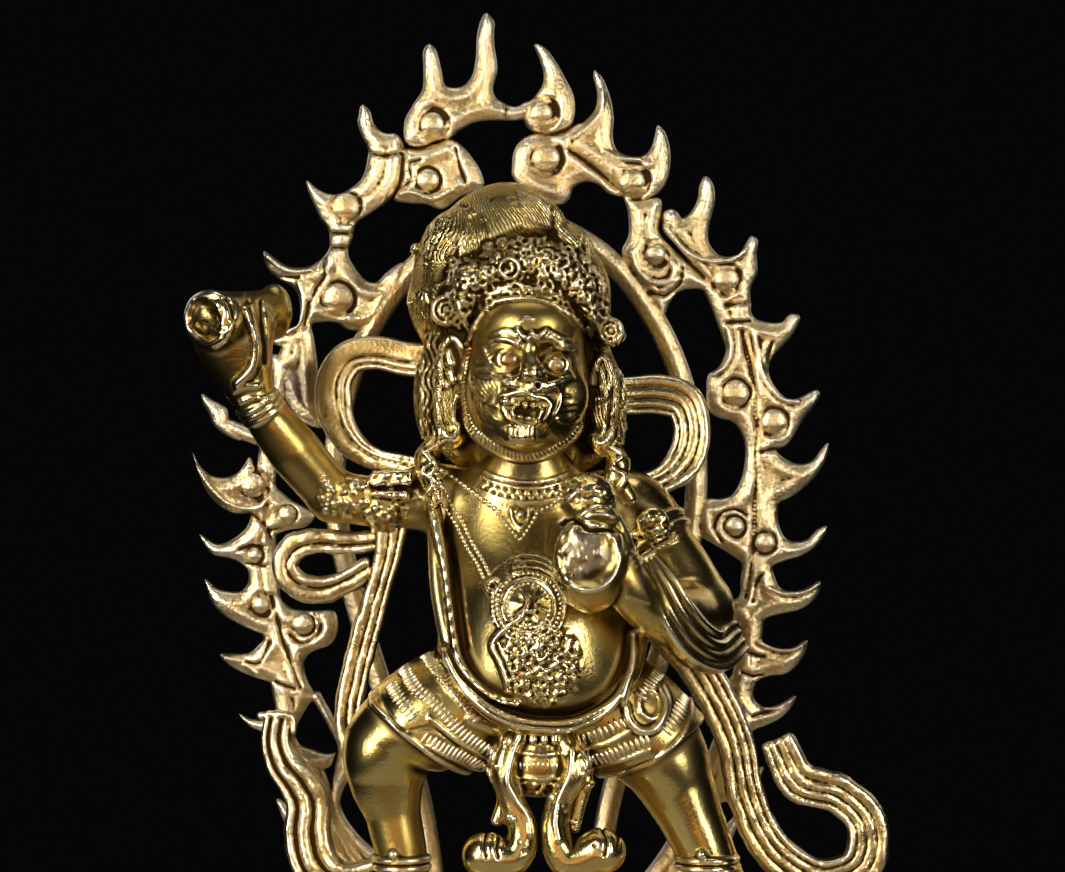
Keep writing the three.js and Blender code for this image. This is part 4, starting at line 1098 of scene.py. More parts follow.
    def arch(self, side: int) -> np.ndarray:
        """Lays out one side of the band's middle line, from the apex down."""
        angle = np.linspace(math.pi / 2, -1.03, 60)
        across, up = np.maximum(np.cos(angle), 0), np.sin(angle)
        power = 2 / self.pointedness
        upper = up >= 0
        x = np.where(upper, across ** power, across) * self.half_width
        z = np.where(upper, np.abs(up) ** power * self.rise, up * self.drop)
        return np.stack([self.spring[0] + side * x, self.spring[1] + z], 1)

    def build(self) -> bpy.types.Object:
        """Builds the arch.

        Returns:
            The arch as a mesh object.
        """
        panel = Panel((-76, 24), (62, 208.5), self.pitch)
        self._band(panel)
        for outline in self.plates:
            panel.plate(outline, 1.1, blend=0.4)
        self._ring(panel)
        for outline in self.holes:
            panel.hole(outline)
        for strip in self.strips:
            panel.stroke(strip, 0.9, blend=0.3, base=0.8)
        self._shape(panel)
        self._balls(panel)
        clay = panel.solid(self.rim_depth, self.back_depth, self.pitch)
        clay.level(Plinth.height)
        return clay.mesh("aureole_casting", 185_000)

    def _band(self, panel: Panel) -> None:
        """Lays the band behind the figure and below, with plainer flames at its foot."""
        for side in (-1, 1):
            line = self.arch(side)
            line = line[line[:, 1] < (166 if side > 0 else 140)]
            wide = np.interp(line[:, 1], [26, 60, 64, 140], [3.2, 3.0, 2.4, 1.8])
            shift = np.interp(line[:, 1], [26, 60, 120, 150], [0, -0.6, -2.4, -1.6]) * side
            spine = np.column_stack([line[:, 0] + shift, line[:, 1], wide])
            panel.stroke(spine[::3], 1.0, blend=0.3, base=0.9)
            for share in (0.80, 0.87, 0.94):
                foot = line[int(share * len(line))]
                out = np.array([side * 1.0, -0.15])
                root, tip = foot + out * 1.5, foot + out * 10 + np.array([0, 5.0])
                bend = foot + out * 6.4
                panel.stroke([(*root, 3), (*bend, 1.9), (*tip, 0.5)], 1.1, base=0.9)

    def _ring(self, panel: Panel) -> None:
        """Lays the flat inner ring."""
        for side in (-1, 1):
            line = [(self.ring_x + side * half, z, self.ring_half) for half, z in self.ring_line]
            panel.stroke(line, 0.75, blend=0.3, base=0.7)

    def _shape(self, panel: Panel) -> None:
        """Gives the plates their rolled rims, engraved lines and hammered faces."""
        inside = np.clip(-panel.edge, 0, None)
        panel.height = np.where(panel.height > 0, 1.45 * np.sqrt(np.clip(inside / 2.3, 0, 1)), 0).astype(np.float32)
        panel.height -= 0.55 * step(2.2, 4.2, inside)
        for half, points in self.rims:
            panel.cord(points, half, 1.7)
        for half, points in self.grooves:
            panel.groove(points, half + 0.15, 0.6)
        panel.wash((-76, 24), (62, 209), 3.4, 0.08, SEED)
        panel.wash((-76, 24), (62, 209), 0.6, 0.05, SEED + 1)
        panel.height = softened(panel.height, 1)
        spine = np.array(self.grooves[9][1], float)
        for spot in paced(spine, 0.85):
            panel.dot(spot, 0.42, float(panel.height.max()) * 0.3)

    def _balls(self, panel: Panel) -> None:
        """Sets the balls into their pockets, each as the flattened end of a curl."""
        for x, z, radius, pocket in self.balls:
            cut, px, pz = panel.patch((x - pocket - 1, z - pocket - 1), (x + pocket + 1, z + pocket + 1))
            away = np.hypot(px - x, pz - z)
            trench = step(pocket + 0.2, pocket - 0.5, away) * (0.62 + 0.38 * np.clip((px - x) / radius, -1, 1))
            panel.height[cut] -= 0.6 * trench
            share = np.clip(1 - (away / radius) ** 2, 0, 1)
            lump = 0.6 + 1.0 * share ** 0.45 - 0.18 * step(-0.2, -0.5, (pz - z) / radius)
            panel.height[cut] = np.where(away < radius, np.maximum(panel.height[cut], lump), panel.height[cut])


@dataclass
class Plinth:
    """The oval double-lotus plinth."""

    height: float = 26.0
    half_length: float = 55.0
    half_width: float = 27.0
    pitch: float = 0.45
    petals: int = 20
    profile: tuple[Point, ...] = ((0, 0), (2.4, 0), (3.4, 3), (7, 4.0), (12.6, 8.8), (18.6, 5.2), (22.6, 4.4),
                                  (23.4, 3.4), (26, 4.2))

    def build(self) -> bpy.types.Object:
        """Builds the plinth.

        Returns:
            The plinth as a mesh object.
        """
        clay = Clay((-58, -30, -2), (58, 30, 28), self.pitch)
        x, y, z = (a.reshape(s) for a, s in zip(clay.axes, ((-1, 1, 1), (1, -1, 1), (1, 1, -1))))
        a, b = self.half_length, self.half_width
        inner = np.sqrt((x / a) ** 2 + (y / b) ** 2)
        outer = np.sqrt((x / a ** 2) ** 2 + (y / b ** 2) ** 2)
        edge = inner * (inner - 1) / np.maximum(outer, 1e-6)
        levels = np.array(self.profile, float)
        inset = np.interp(z, levels[:, 0], levels[:, 1])
        petal = self._petals(np.arctan2(y / b, x / a), z)
        side = edge + inset - petal
        clay.field = np.maximum(np.maximum(side * 0.85, -z), z - self.height).astype(np.float32)
        return clay.mesh("plinth_casting", 90_000)

    def _petals(self, angle: np.ndarray, z: np.ndarray) -> np.ndarray:
        """Gives how far the petals stand out at angles round the plinth and heights."""
        total = 0.0
        for low, tip, turn in ((12.4, 3.6, 0.0), (12.8, 22.4, 0.5)):
            share = np.clip((z - low) / (tip - low), -0.2, 1.1)
            place = (angle / (2 * math.pi) * self.petals + turn) % 1 - 0.5
            half = 0.47 * np.sqrt(np.clip(1 - np.clip(share, 0, 1) ** 3, 0, 1))
            across = np.abs(place) / np.maximum(half, 0.02)
            swell = 2.0 * np.sin(np.clip(share, 0, 1) * math.pi * 0.72) * np.sqrt(np.clip(1 - across ** 2, 0, 1))
            lip = 0.5 * dome((across - 0.82) / 0.2) * (share > 0.02)
            total = total + np.where((share > 0) & (share < 1), swell + lip, 0)
        return total


def strands(canvas: Canvas, first: Iterable[Point], last: Iterable[Point], count: int, half: float,
            height: float) -> None:
    """Raises a fan of cords that lead over from one line to another.

    Args:
        canvas: the canvas to paint on.
        first: the first cord's line.
        last: the last cord's line, with as many points.
        count: how many cords there are in all.
        half: their half width.
        height: how far they stand up, or how deep they are cut where it is negative.
    """
    one, other = np.array(list(first), float), np.array(list(last), float)
    for share in np.linspace(0, 1, count):
        line = one * (1 - share) + other * share
        if height > 0:
            canvas.cord(line, half, height)
        else:
            canvas.groove(line, half, -height)


@dataclass
class Head:
    """The wrathful head, with its standing hair, its diadem and its ears."""

    pitch: float = 0.22
    centre: Point = (-4, -9, 130)
    radii: Point = (12.7, 13.4, 15.4)
    hair: tuple[Point, ...] = (
        (-22, 118), (-25, 125), (-25.6, 132.4), (-24.4, 138), (-26.4, 142), (-27.6, 147), (-26.6, 152), (-25.4, 158),
        (-21.4, 163), (-15.4, 168.2), (-9, 170.6), (-3, 169.8), (0.9, 167), (4.7, 162.6), (8, 158.6), (11, 155.4),
        (12.9, 150.6), (13.2, 145), (13, 138), (15.6, 131), (15.6, 124), (13.4, 117), (0, 121), (-14, 120))
    crown: tuple[Point, ...] = (
        (-20.4, 143), (-20.4, 149), (-19, 154), (-13, 156.2), (-9, 157.8), (-3, 159.6), (2, 158.6), (7.4, 155.8),
        (11.4, 151.8), (12.8, 147), (12.4, 140.8), (8.8, 139), (5.4, 142.6), (1, 145.4), (-5, 146.6), (-10, 145.8),
        (-12.6, 143.4), (-14, 140), (-17.4, 140.4))
    brow_line: tuple[Point, ...] = ((-14.8, 137.6), (-12.8, 142.4), (-10, 145.2), (-5, 146.2), (0, 145.6),
                                    (4, 143.2), (7, 140.4), (9, 136.6))
    strand: float = 0.62

    def build(self) -> bpy.types.Object:
        """Builds the head.

        Returns:
            The head as a mesh object.
        """
        clay = Clay((-31, -27, 105), (22, 15, 174), self.pitch)
        self._skull(clay)
        combed = self._hair(clay)
        self._crown(clay)
        self._ears(clay)
        self._features(clay)
        self._face_relief(clay)
        self._crown_relief(clay)
        self._hair_relief(clay)
        obj = clay.mesh("figure_head", 180_000)
        self._comb(obj, clay, combed)
        return obj

    def _skull(self, clay: Clay) -> None:
        """Lays down the skull, the jaw and the neck."""
        clay.add(Ball(self.centre, self.radii), 0)
        clay.add(Ball((-4, -12.2, 122.4), (10.8, 9.8, 7.4)), 3)
        clay.add(Ball((-3.4, -12.6, 140.6), (10.8, 9.2, 8.2)), 3)
        clay.add(Sweep([(-3.6, -1.6, 110), (-3.4, -2, 120)], [(8.6, 4.6), (9, 5.4)]), 2)
        clay.add(Ball((-4, 2.4, 122), (12.6, 8.4, 13)), 3)
        clay.add(Ball((-4, 3.6, 119), (17.4, 5, 9)), 2)

    def _hair(self, clay: Clay) -> np.ndarray:
        """Raises the dome of hair.

        Args:
            clay: the head's block.

        Returns:
            The distances to the plain dome over the whole block.
        """
        alone = Clay(clay.start, [a[-1] for a in clay.axes], self.pitch)
        alone.add(Pillow(self.hair, 1.4, 13.6, 11.8, 13), 0)
        size = tuple(slice(0, n) for n in clay.field.shape)
        clay.field = soft_min(clay.field, alone.field[size], 0.8)
        clay.add(Ball((-16.6, -4.2, 156.6), (8.2, 7.4, 8.4)), 1.6)
        clay.add(Ball((-4.8, -5, 161.4), (9, 6.4, 6.8)), 1.6)
        clay.add(Ball((4.6, -4.6, 155), (5.4, 6.2, 6.8)), 1.6)
        clay.add(Ball((-23.6, -3, 128), (2.6, 3.6, 9)), 0.8)
        clay.add(Ball((14.2, -3, 125), (2.0, 3.6, 8)), 0.8)
        return alone.field[size]

    def _crown(self, clay: Clay) -> None:
        """Sets on the jewelled front of the diadem, and the rosettes at its ends."""
        clay.add(Ball((-3.4, -9, 147.4), (14, 9.8, 7)), 1.4)
        clay.add(Pillow(self.crown, -5, 13.6, 5, 6), 0.6)
        for x, y, z, radius in ((-19.4, -12, 144.4, 3.2), (12.8, -11, 140.4, 2.7), (-26.4, -2, 146.4, 1.2),
                                (-25.6, -2, 157, 1.3)):
            clay.add(Ball((x, y, z), (radius, 2.2, radius)), 0.4)

    def _ears(self, clay: Clay) -> None:
        """Sets on the long-lobed ears."""
        clay.add(Ball((-18.8, -7.2, 129), (3.2, 3.6, 10.8)), 0.6)
        clay.add(Ball((-18.8, -8.2, 120.4), (3.2, 2.8, 3.4)), 0.6)
        clay.add(Ball((11.2, -7.2, 128), (3.0, 3.6, 9.6)), 0.6)
        clay.add(Ball((11.4, -8.2, 119), (2.4, 2.6, 3.4)), 0.6)

    def _features(self, clay: Clay) -> None:
        """Models the eyes, the nose, the muzzle with its mouth, and the chin."""
        for place in ((-7.2, -24, 134.4), (2.2, -23.8, 133.6)):
            clay.carve(Ball(place, (4.2, 2.8, 2.8)), 1.6)
        clay.add(Ball((-7.1, -19.4, 134.6), (2.7, 2.6, 2.2)), 0.7)
        clay.add(Ball((2.1, -19.3, 133.5), (2.9, 2.7, 2.4)), 0.7)
        for points, sizes in (
                (((-10.4, -18.8, 138), (-8, -20.4, 139), (-5.4, -21.6, 138.2)), (0.7, 1.1, 0.9)),
                (((-2.6, -22, 138.2), (0.6, -21.5, 138.8), (3.2, -20.8, 137.6), (5.6, -19.4, 137)), (1.0, 1.2, 1.1, 0.7)),
                (((-3, -20.8, 138), (-2.8, -21.8, 135), (-2.7, -23.2, 131.8)), ((1.2, 1.2), (1.5, 1.4), (2.6, 1.8))),
                (((-12, -17.4, 130.4), (-9.2, -20, 130.6), (-6, -22.2, 130), (-2.7, -23, 129)),
                 (0.5, 0.8, 1.0, 0.8)),
                (((-2.7, -23, 129), (0.8, -22, 129.6), (3.2, -20.6, 130.4), (4.6, -19.4, 131.4)), (0.8, 0.8, 0.6, 0.4))):
            clay.add(Sweep(points, sizes), 0.9)
        for place, radii, blend in (((-4.8, -22.8, 131), (1.1, 1.0, 0.9), 0.4), ((-0.7, -22.8, 130.9), (1.1, 1.0, 0.9), 0.4),
                                    ((-3, -21.2, 136.8), (1.6, 1.2, 1.2), 0.8), ((-9.6, -16.2, 128), (4.2, 3, 4.4), 3),
                                    ((3.8, -16.2, 127.6), (4.4, 3, 4.8), 3), ((-3.8, -19.2, 125), (6.4, 3.6, 5.2), 2.4)):
            clay.add(Ball(place, radii), blend)
        clay.carve(Ball((-3.7, -24.2, 124.9), (3.6, 2.0, 1.9)), 0.8)
        clay.add(Ball((-4.4, -20.2, 119.9), (4.0, 2.5, 2.5)), 1.2)

    def _face_relief(self, clay: Clay) -> None:
        """Presses the fine lines of the face and the ears."""
        face = Relief(clay, (-25, 110), (17, 147.6))
        jaw = ((-15.3, 137.6), (-15.9, 134.4), (-16.5, 130.4), (-16.2, 126), (-14.8, 121.8), (-12.2, 119),
               (-9.3, 117.2), (-6.7, 116.1), (-3.7, 115.5), (-0.2, 116.2), (2.5, 117.4), (5.3, 119.2), (7, 121.6))
        face.rope(jaw, 0.85, 0.8, 0.84, 0.5, 0.9)
        face.cord([(x * 1.03 - 0.2, z - 0.6) for x, z in jaw[3:]], 0.4, 0.5)
        for x in (-6.8, -5.9, -5.0, -4.2, -3.4, -2.5):
            face.cord([(x, 121.4), (x + 0.1, 119.2 + 0.1 * abs(x + 4.6))], 0.32, 0.55, smooth=False)
        cords = (
            (0.6, 0.3, ((-8.2, 125.2), (-7.2, 123.4), (-5.6, 122.3), (-3.4, 121.8), (-1.2, 122.2), (0.2, 123.4),
                        (0.9, 125))),
            (0.55, 0.35, ((-9, 126.2), (-8.6, 127.5), (-6.4, 128), (-4.4, 128.2), (-2.6, 127.3), (0.2, 127), (1.3, 125.6))),
            (0.45, 0.9, ((-1.2, 122.9), (-0.6, 124.9))), (0.42, 0.8, ((-6.2, 123.6), (-6.4, 125))),
            (0.34, 0.4, ((1.6, 130.2), (2.8, 128.4), (3, 126.2), (2, 124))),
            (0.3, 0.3, ((2.4, 123), (4, 123.1), (5.8, 123.8))), (0.34, 0.3, ((2.9, 127.8), (4.6, 127.5))),
            (0.3, 0.4, ((-9.4, 138.6), (-7, 138.2), (-5, 137))), (0.3, 0.35, ((-10, 139.6), (-7.6, 140.3), (-5.6, 139.4))),
            (0.55, 0.7, ((-5.4, 140.4), (-4.4, 139.2), (-3.4, 138.6), (-2.6, 139.8))),
            (0.55, 0.7, ((-2.6, 139.8), (-1.7, 138.8), (-0.8, 139.4), (0.2, 140.2))),
            (0.34, 0.4, ((0.8, 140), (3, 138.8), (5.4, 138.4))), (0.28, 0.25, ((-5, 141.6), (-4, 142.6), (-2.6, 142.4))),
            (0.36, 0.35, ((-12, 137), (-11.6, 135.6), (-10.8, 134.2))), (0.4, 0.4, ((-4, 132.2), (-4, 131.2))),
            (0.4, 0.4, ((-2, 132.4), (-2, 131.4))))
        for half, height, points in cords:
            face.cord(points, half, height, smooth=len(points) > 2)
        strands(face, [(-14.6, 131.2), (-13.6, 128.4), (-11.6, 126.4), (-9.2, 125.4)],
                [(-9.8, 130), (-9.4, 129.6), (-9, 129.2), (-8.8, 128.8)], 7, 0.28, 0.3)
        strands(face, [(-11.4, 132.6), (-9, 131.6), (-6, 131.2)], [(-11.6, 129.6), (-9.2, 129.8), (-5.6, 129.2)],
                4, 0.26, 0.22)
        strands(face, [(-0.8, 129.8), (2.4, 130.6), (5, 132.4)], [(-0.4, 128.2), (2.6, 129), (5.6, 131)], 4, 0.26, 0.22)
        strands(face, [(-11, 134.4), (-9.4, 132.8), (-6.8, 132.2)], [(-11.8, 133.2), (-9.6, 131.8), (-6.8, 131.6)],
                2, 0.24, 0.2)
        for x, z in ((-5.6, 125.7), (-3.9, 125.5), (-2.4, 125.6), (-4.9, 123.6), (-3.2, 123.3)):
            face.dot((x, z), 0.62, 0.9)
        face.dot((-8, 126.6), 0.9, 0.8)
        for spot, radius, half, height in (((2.1, 133.6), 2.5, 0.4, 0.35), ((2.2, 133.4), 1.4, 0.3, 0.2),
                                           ((-7.1, 134.7), 2.3, 0.4, 0.3), ((-7.1, 134.6), 1.2, 0.3, 0.15),
                                           ((-1.5, 129.5), 0.9, 0.3, 0.3)):
            face.ring(spot, radius, half, height, 0.86)
        face.pit((-1.5, 129.4), 0.8, 0.8)
        face.wash((-14, 120), (7, 141), 0.9, 0.04, 61)
        strands(face, [(-12.4, 136), (-10.4, 136.8), (-8, 137.4), (-5.4, 136.6)],
                [(-11, 135), (-9.6, 136), (-7.2, 136.8), (-5, 136)], 3, 0.26, 0.25)
        strands(face, [(-0.6, 136), (2, 137), (4.6, 136.4), (6.4, 134.6)],
                [(-0.8, 135.2), (2, 136.2), (4.2, 135.6), (5.6, 134)], 3, 0.26, 0.25)
        strands(face, [(-9.6, 122.8), (-11.4, 124.6), (-12.2, 127)], [(-10.6, 121.4), (-13, 123.6), (-14, 126.6)],
                3, 0.24, 0.15)
        strands(face, [(2.6, 125.4), (4.4, 126), (6.6, 126.2)], [(2.4, 122.6), (4.4, 122.4), (6.4, 123)], 4, 0.24, 0.18)
        for half, height, points in (
                (0.8, 0.6, ((-16.8, 131), (-16, 134.6), (-16.6, 137.4), (-18.4, 139), (-20.2, 137.6), (-21, 134.4),
                            (-20.8, 131.4), (-19.4, 129.8))),
                (0.8, 0.6, ((-20.9, 130), (-21.4, 126), (-20.9, 122), (-19.2, 119.4), (-17.6, 119.8), (-16.6, 122.4))),
                (0.6, 0.4, ((-17.2, 129.6), (-17.8, 125.4), (-17.6, 121.8))),
                (0.9, 0.7, ((-19.2, 136.4), (-18.4, 134.2))), (0.9, 0.6, ((-18.8, 132.4), (-18.2, 130.8))),
                (0.7, 0.6, ((9.4, 130), (9.6, 133.4), (11.1, 135.4), (12.6, 134), (12.8, 130.6), (11.6, 127.4), (10.2, 127))),
                (0.6, 0.5, ((10.8, 132.8), (11.4, 130.6), (11, 128.8))),
                (0.8, 0.6, ((13.6, 132), (14.2, 127.6), (13.6, 122), (12, 118.8), (10.4, 118.2), (9.2, 120.2))),
                (0.5, 0.4, ((12, 126), (11.6, 121.8), (10.8, 119.8)))):
            face.cord(points, half, height)
        for side, low, high in ((-1, -25.6, -21.4), (1, 13.6, 16)):
            wavy = [(0.7 * math.sin(0.9 * z), z) for z in range(118, 142, 2)]
            strands(face, [(low + side * 0.4 + x, z) for x, z in wavy], [(high + x, z) for x, z in wavy],
                    5 if side < 0 else 3, 0.42, 0.6)
        for y0 in range(3):
            face.cord([(-24.6 + y0, 119 - 1.6 * y0), (-22 + 0.6 * y0, 117.8 - 1.6 * y0), (-20, 118.8 - 1.6 * y0)], 0.4, 0.5)
        face.press(-28, -4)

    def _crown_relief(self, clay: Clay) -> None:
        """Presses the jewels of the diadem and the corded line over the brow."""
        top = Relief(clay, (-24, 136), (17, 161))
        x, z = top.x[:, None], top.z[None, :]
        slab = top.field(self.crown, 1.2)
        top.height += (0.42 * slab * crumble(x, z, 0.75, SEED) * crumble(x, z, 1.9, 3)).astype(np.float32)
        top.jewels(slab, (-20, 140), (13, 159), 560, SEED, 0.8)
        top.ring((-7, 152.3), 1.9, 0.42, 1.2)
        top.cord([(-7.6, 151.4), (-6.4, 152), (-6.8, 153.2)], 0.4, 1.2)
        for bx, bz, size in ((-15.7, 151.4, 0.9), (-9.3, 154.9, 1.0), (0.2, 154.6, 1.1), (-8.4, 157.4, 0.8),
                             (-11.2, 156.6, 0.8), (-0.4, 150.8, 0.7), (2.8, 151.1, 0.8), (-3.2, 153.4, 0.7)):
            top.ring((bx, bz), size * 1.35, 0.3, 0.7)
            top.dot((bx, bz), size, 1.1)
        for lift, half, height in ((0.6, 0.62, 0.8), (2.0, 0.3, 0.6), (2.7, 0.26, 0.5)):
            line = [(x0 + 0.1 * lift * (x0 + 4), z0 + lift * 0.8) for x0, z0 in self.brow_line]
            if lift < 1:
                top.rope(line, half, height, 0.6, 0.2, 0.7)
            else:
                top.cord(line[1:-1], half, height)
        for shift in (0.0, 0.9):
            top.cord([(-14.4 - shift, 143.2), (-13.2 - shift, 144.4), (-12.8 - shift, 147.2)], 0.34, 0.9)
            top.cord([(-10 - shift, 147.4), (-7.4, 148.6 + shift * 0.6), (-5.4, 149.6), (-3.2, 148.4), (-1, 148.6)], 0.3, 0.7)
        for x0, z0, radius in ((-19.4, 144.4, 2.6), (12.8, 140.4, 2.2)):
            top.ring((x0, z0), radius, 0.42, 0.8)
            top.beads([(x0 + radius * 0.55 * math.sin(a), z0 + radius * 0.55 * math.cos(a))
                       for a in np.linspace(0, 2 * math.pi, 13)], 0.4, 0.85, 0.7)
            top.dot((x0, z0), radius * 0.25, 0.9)
        top.press(-28, -3)

    def _hair_relief(self, clay: Clay) -> None:
        """Presses the edges of the locks and a few strands that stand out."""
        top = Relief(clay, (-29, 139), (16, 172))
        for half, depth, points in (
                (0.6, 0.6, ((-16.6, 165.6), (-13.4, 163.8), (-11.6, 161), (-11.6, 158.4), (-12.6, 156.6))),
                (0.5, 0.5, ((-17.4, 154.6), (-17.2, 159), (-15.6, 161.4), (-13.6, 161.6))),
                (0.6, 0.6, ((0.4, 165.8), (1.6, 162.4), (1.2, 159.6))),
                (0.5, 0.5, ((6.2, 161), (7.4, 157.6), (7.8, 156.4))),
                (0.5, 0.4, ((-23.6, 139), (-22.8, 146), (-23.4, 152), (-22, 157))),
                (0.7, 0.6, ((-19.4, 155), (-13, 157.4), (-9, 158.9), (-3, 160.8), (2.2, 159.8), (7.8, 156.8)))):
            top.groove(points, half * 1.3, depth * 0.5)
        strands(top, [(-5.6, 168.2), (-2, 166.8), (0.4, 165)], [(-4, 163.2), (-1, 161.8), (1, 160.8)], 8, 0.26, 0.34)
        strands(top, [(2.8, 161.8), (6.9, 157.2)], [(2.6, 159.4), (5.2, 156.4)], 5, 0.28, 0.4)
        strands(top, [(-20.6, 163), (-17.6, 158.6)], [(-15, 165), (-12.6, 159.6)], 8, 0.26, 0.24)
        strands(top, [(-16.8, 154.4), (-16.2, 158.6), (-14, 160.6)], [(-13.6, 155), (-13.4, 157.4), (-12.8, 158.6)],
                5, 0.24, 0.24)
        top.press(-20, 0)

    def _comb(self, obj: bpy.types.Object, clay: Clay, combed: np.ndarray) -> None:
        """Marks the combed hair, and how far across its strands each place lies."""
        places = vertex_places(obj)
        at = np.clip(np.round((places - clay.start) / clay.pitch).astype(int), 0, np.array(combed.shape) - 1)
        x, y, z = places.T
        away = np.abs(combed[tuple(at.T)])
        bare = np.maximum(step(12.4, 14, np.abs(x + 5.5)), step(148, 153, z))
        mark(obj, "combed", step(4.6, 3.2, away) * bare)
        upper = step(148, 156, z)
        right, z = step(-19, -5, x), z - 160
        swept = (0.82 * x + 0.57 * z) * right + (0.88 * x - 0.4 * z) * (1 - right)
        across = swept * upper + (x + 0.2 * z) * (1 - upper) + 0.4 * y + 0.3 * np.sin(0.5 * x + 0.3 * z)
        mark(obj, "across", across / self.strand)


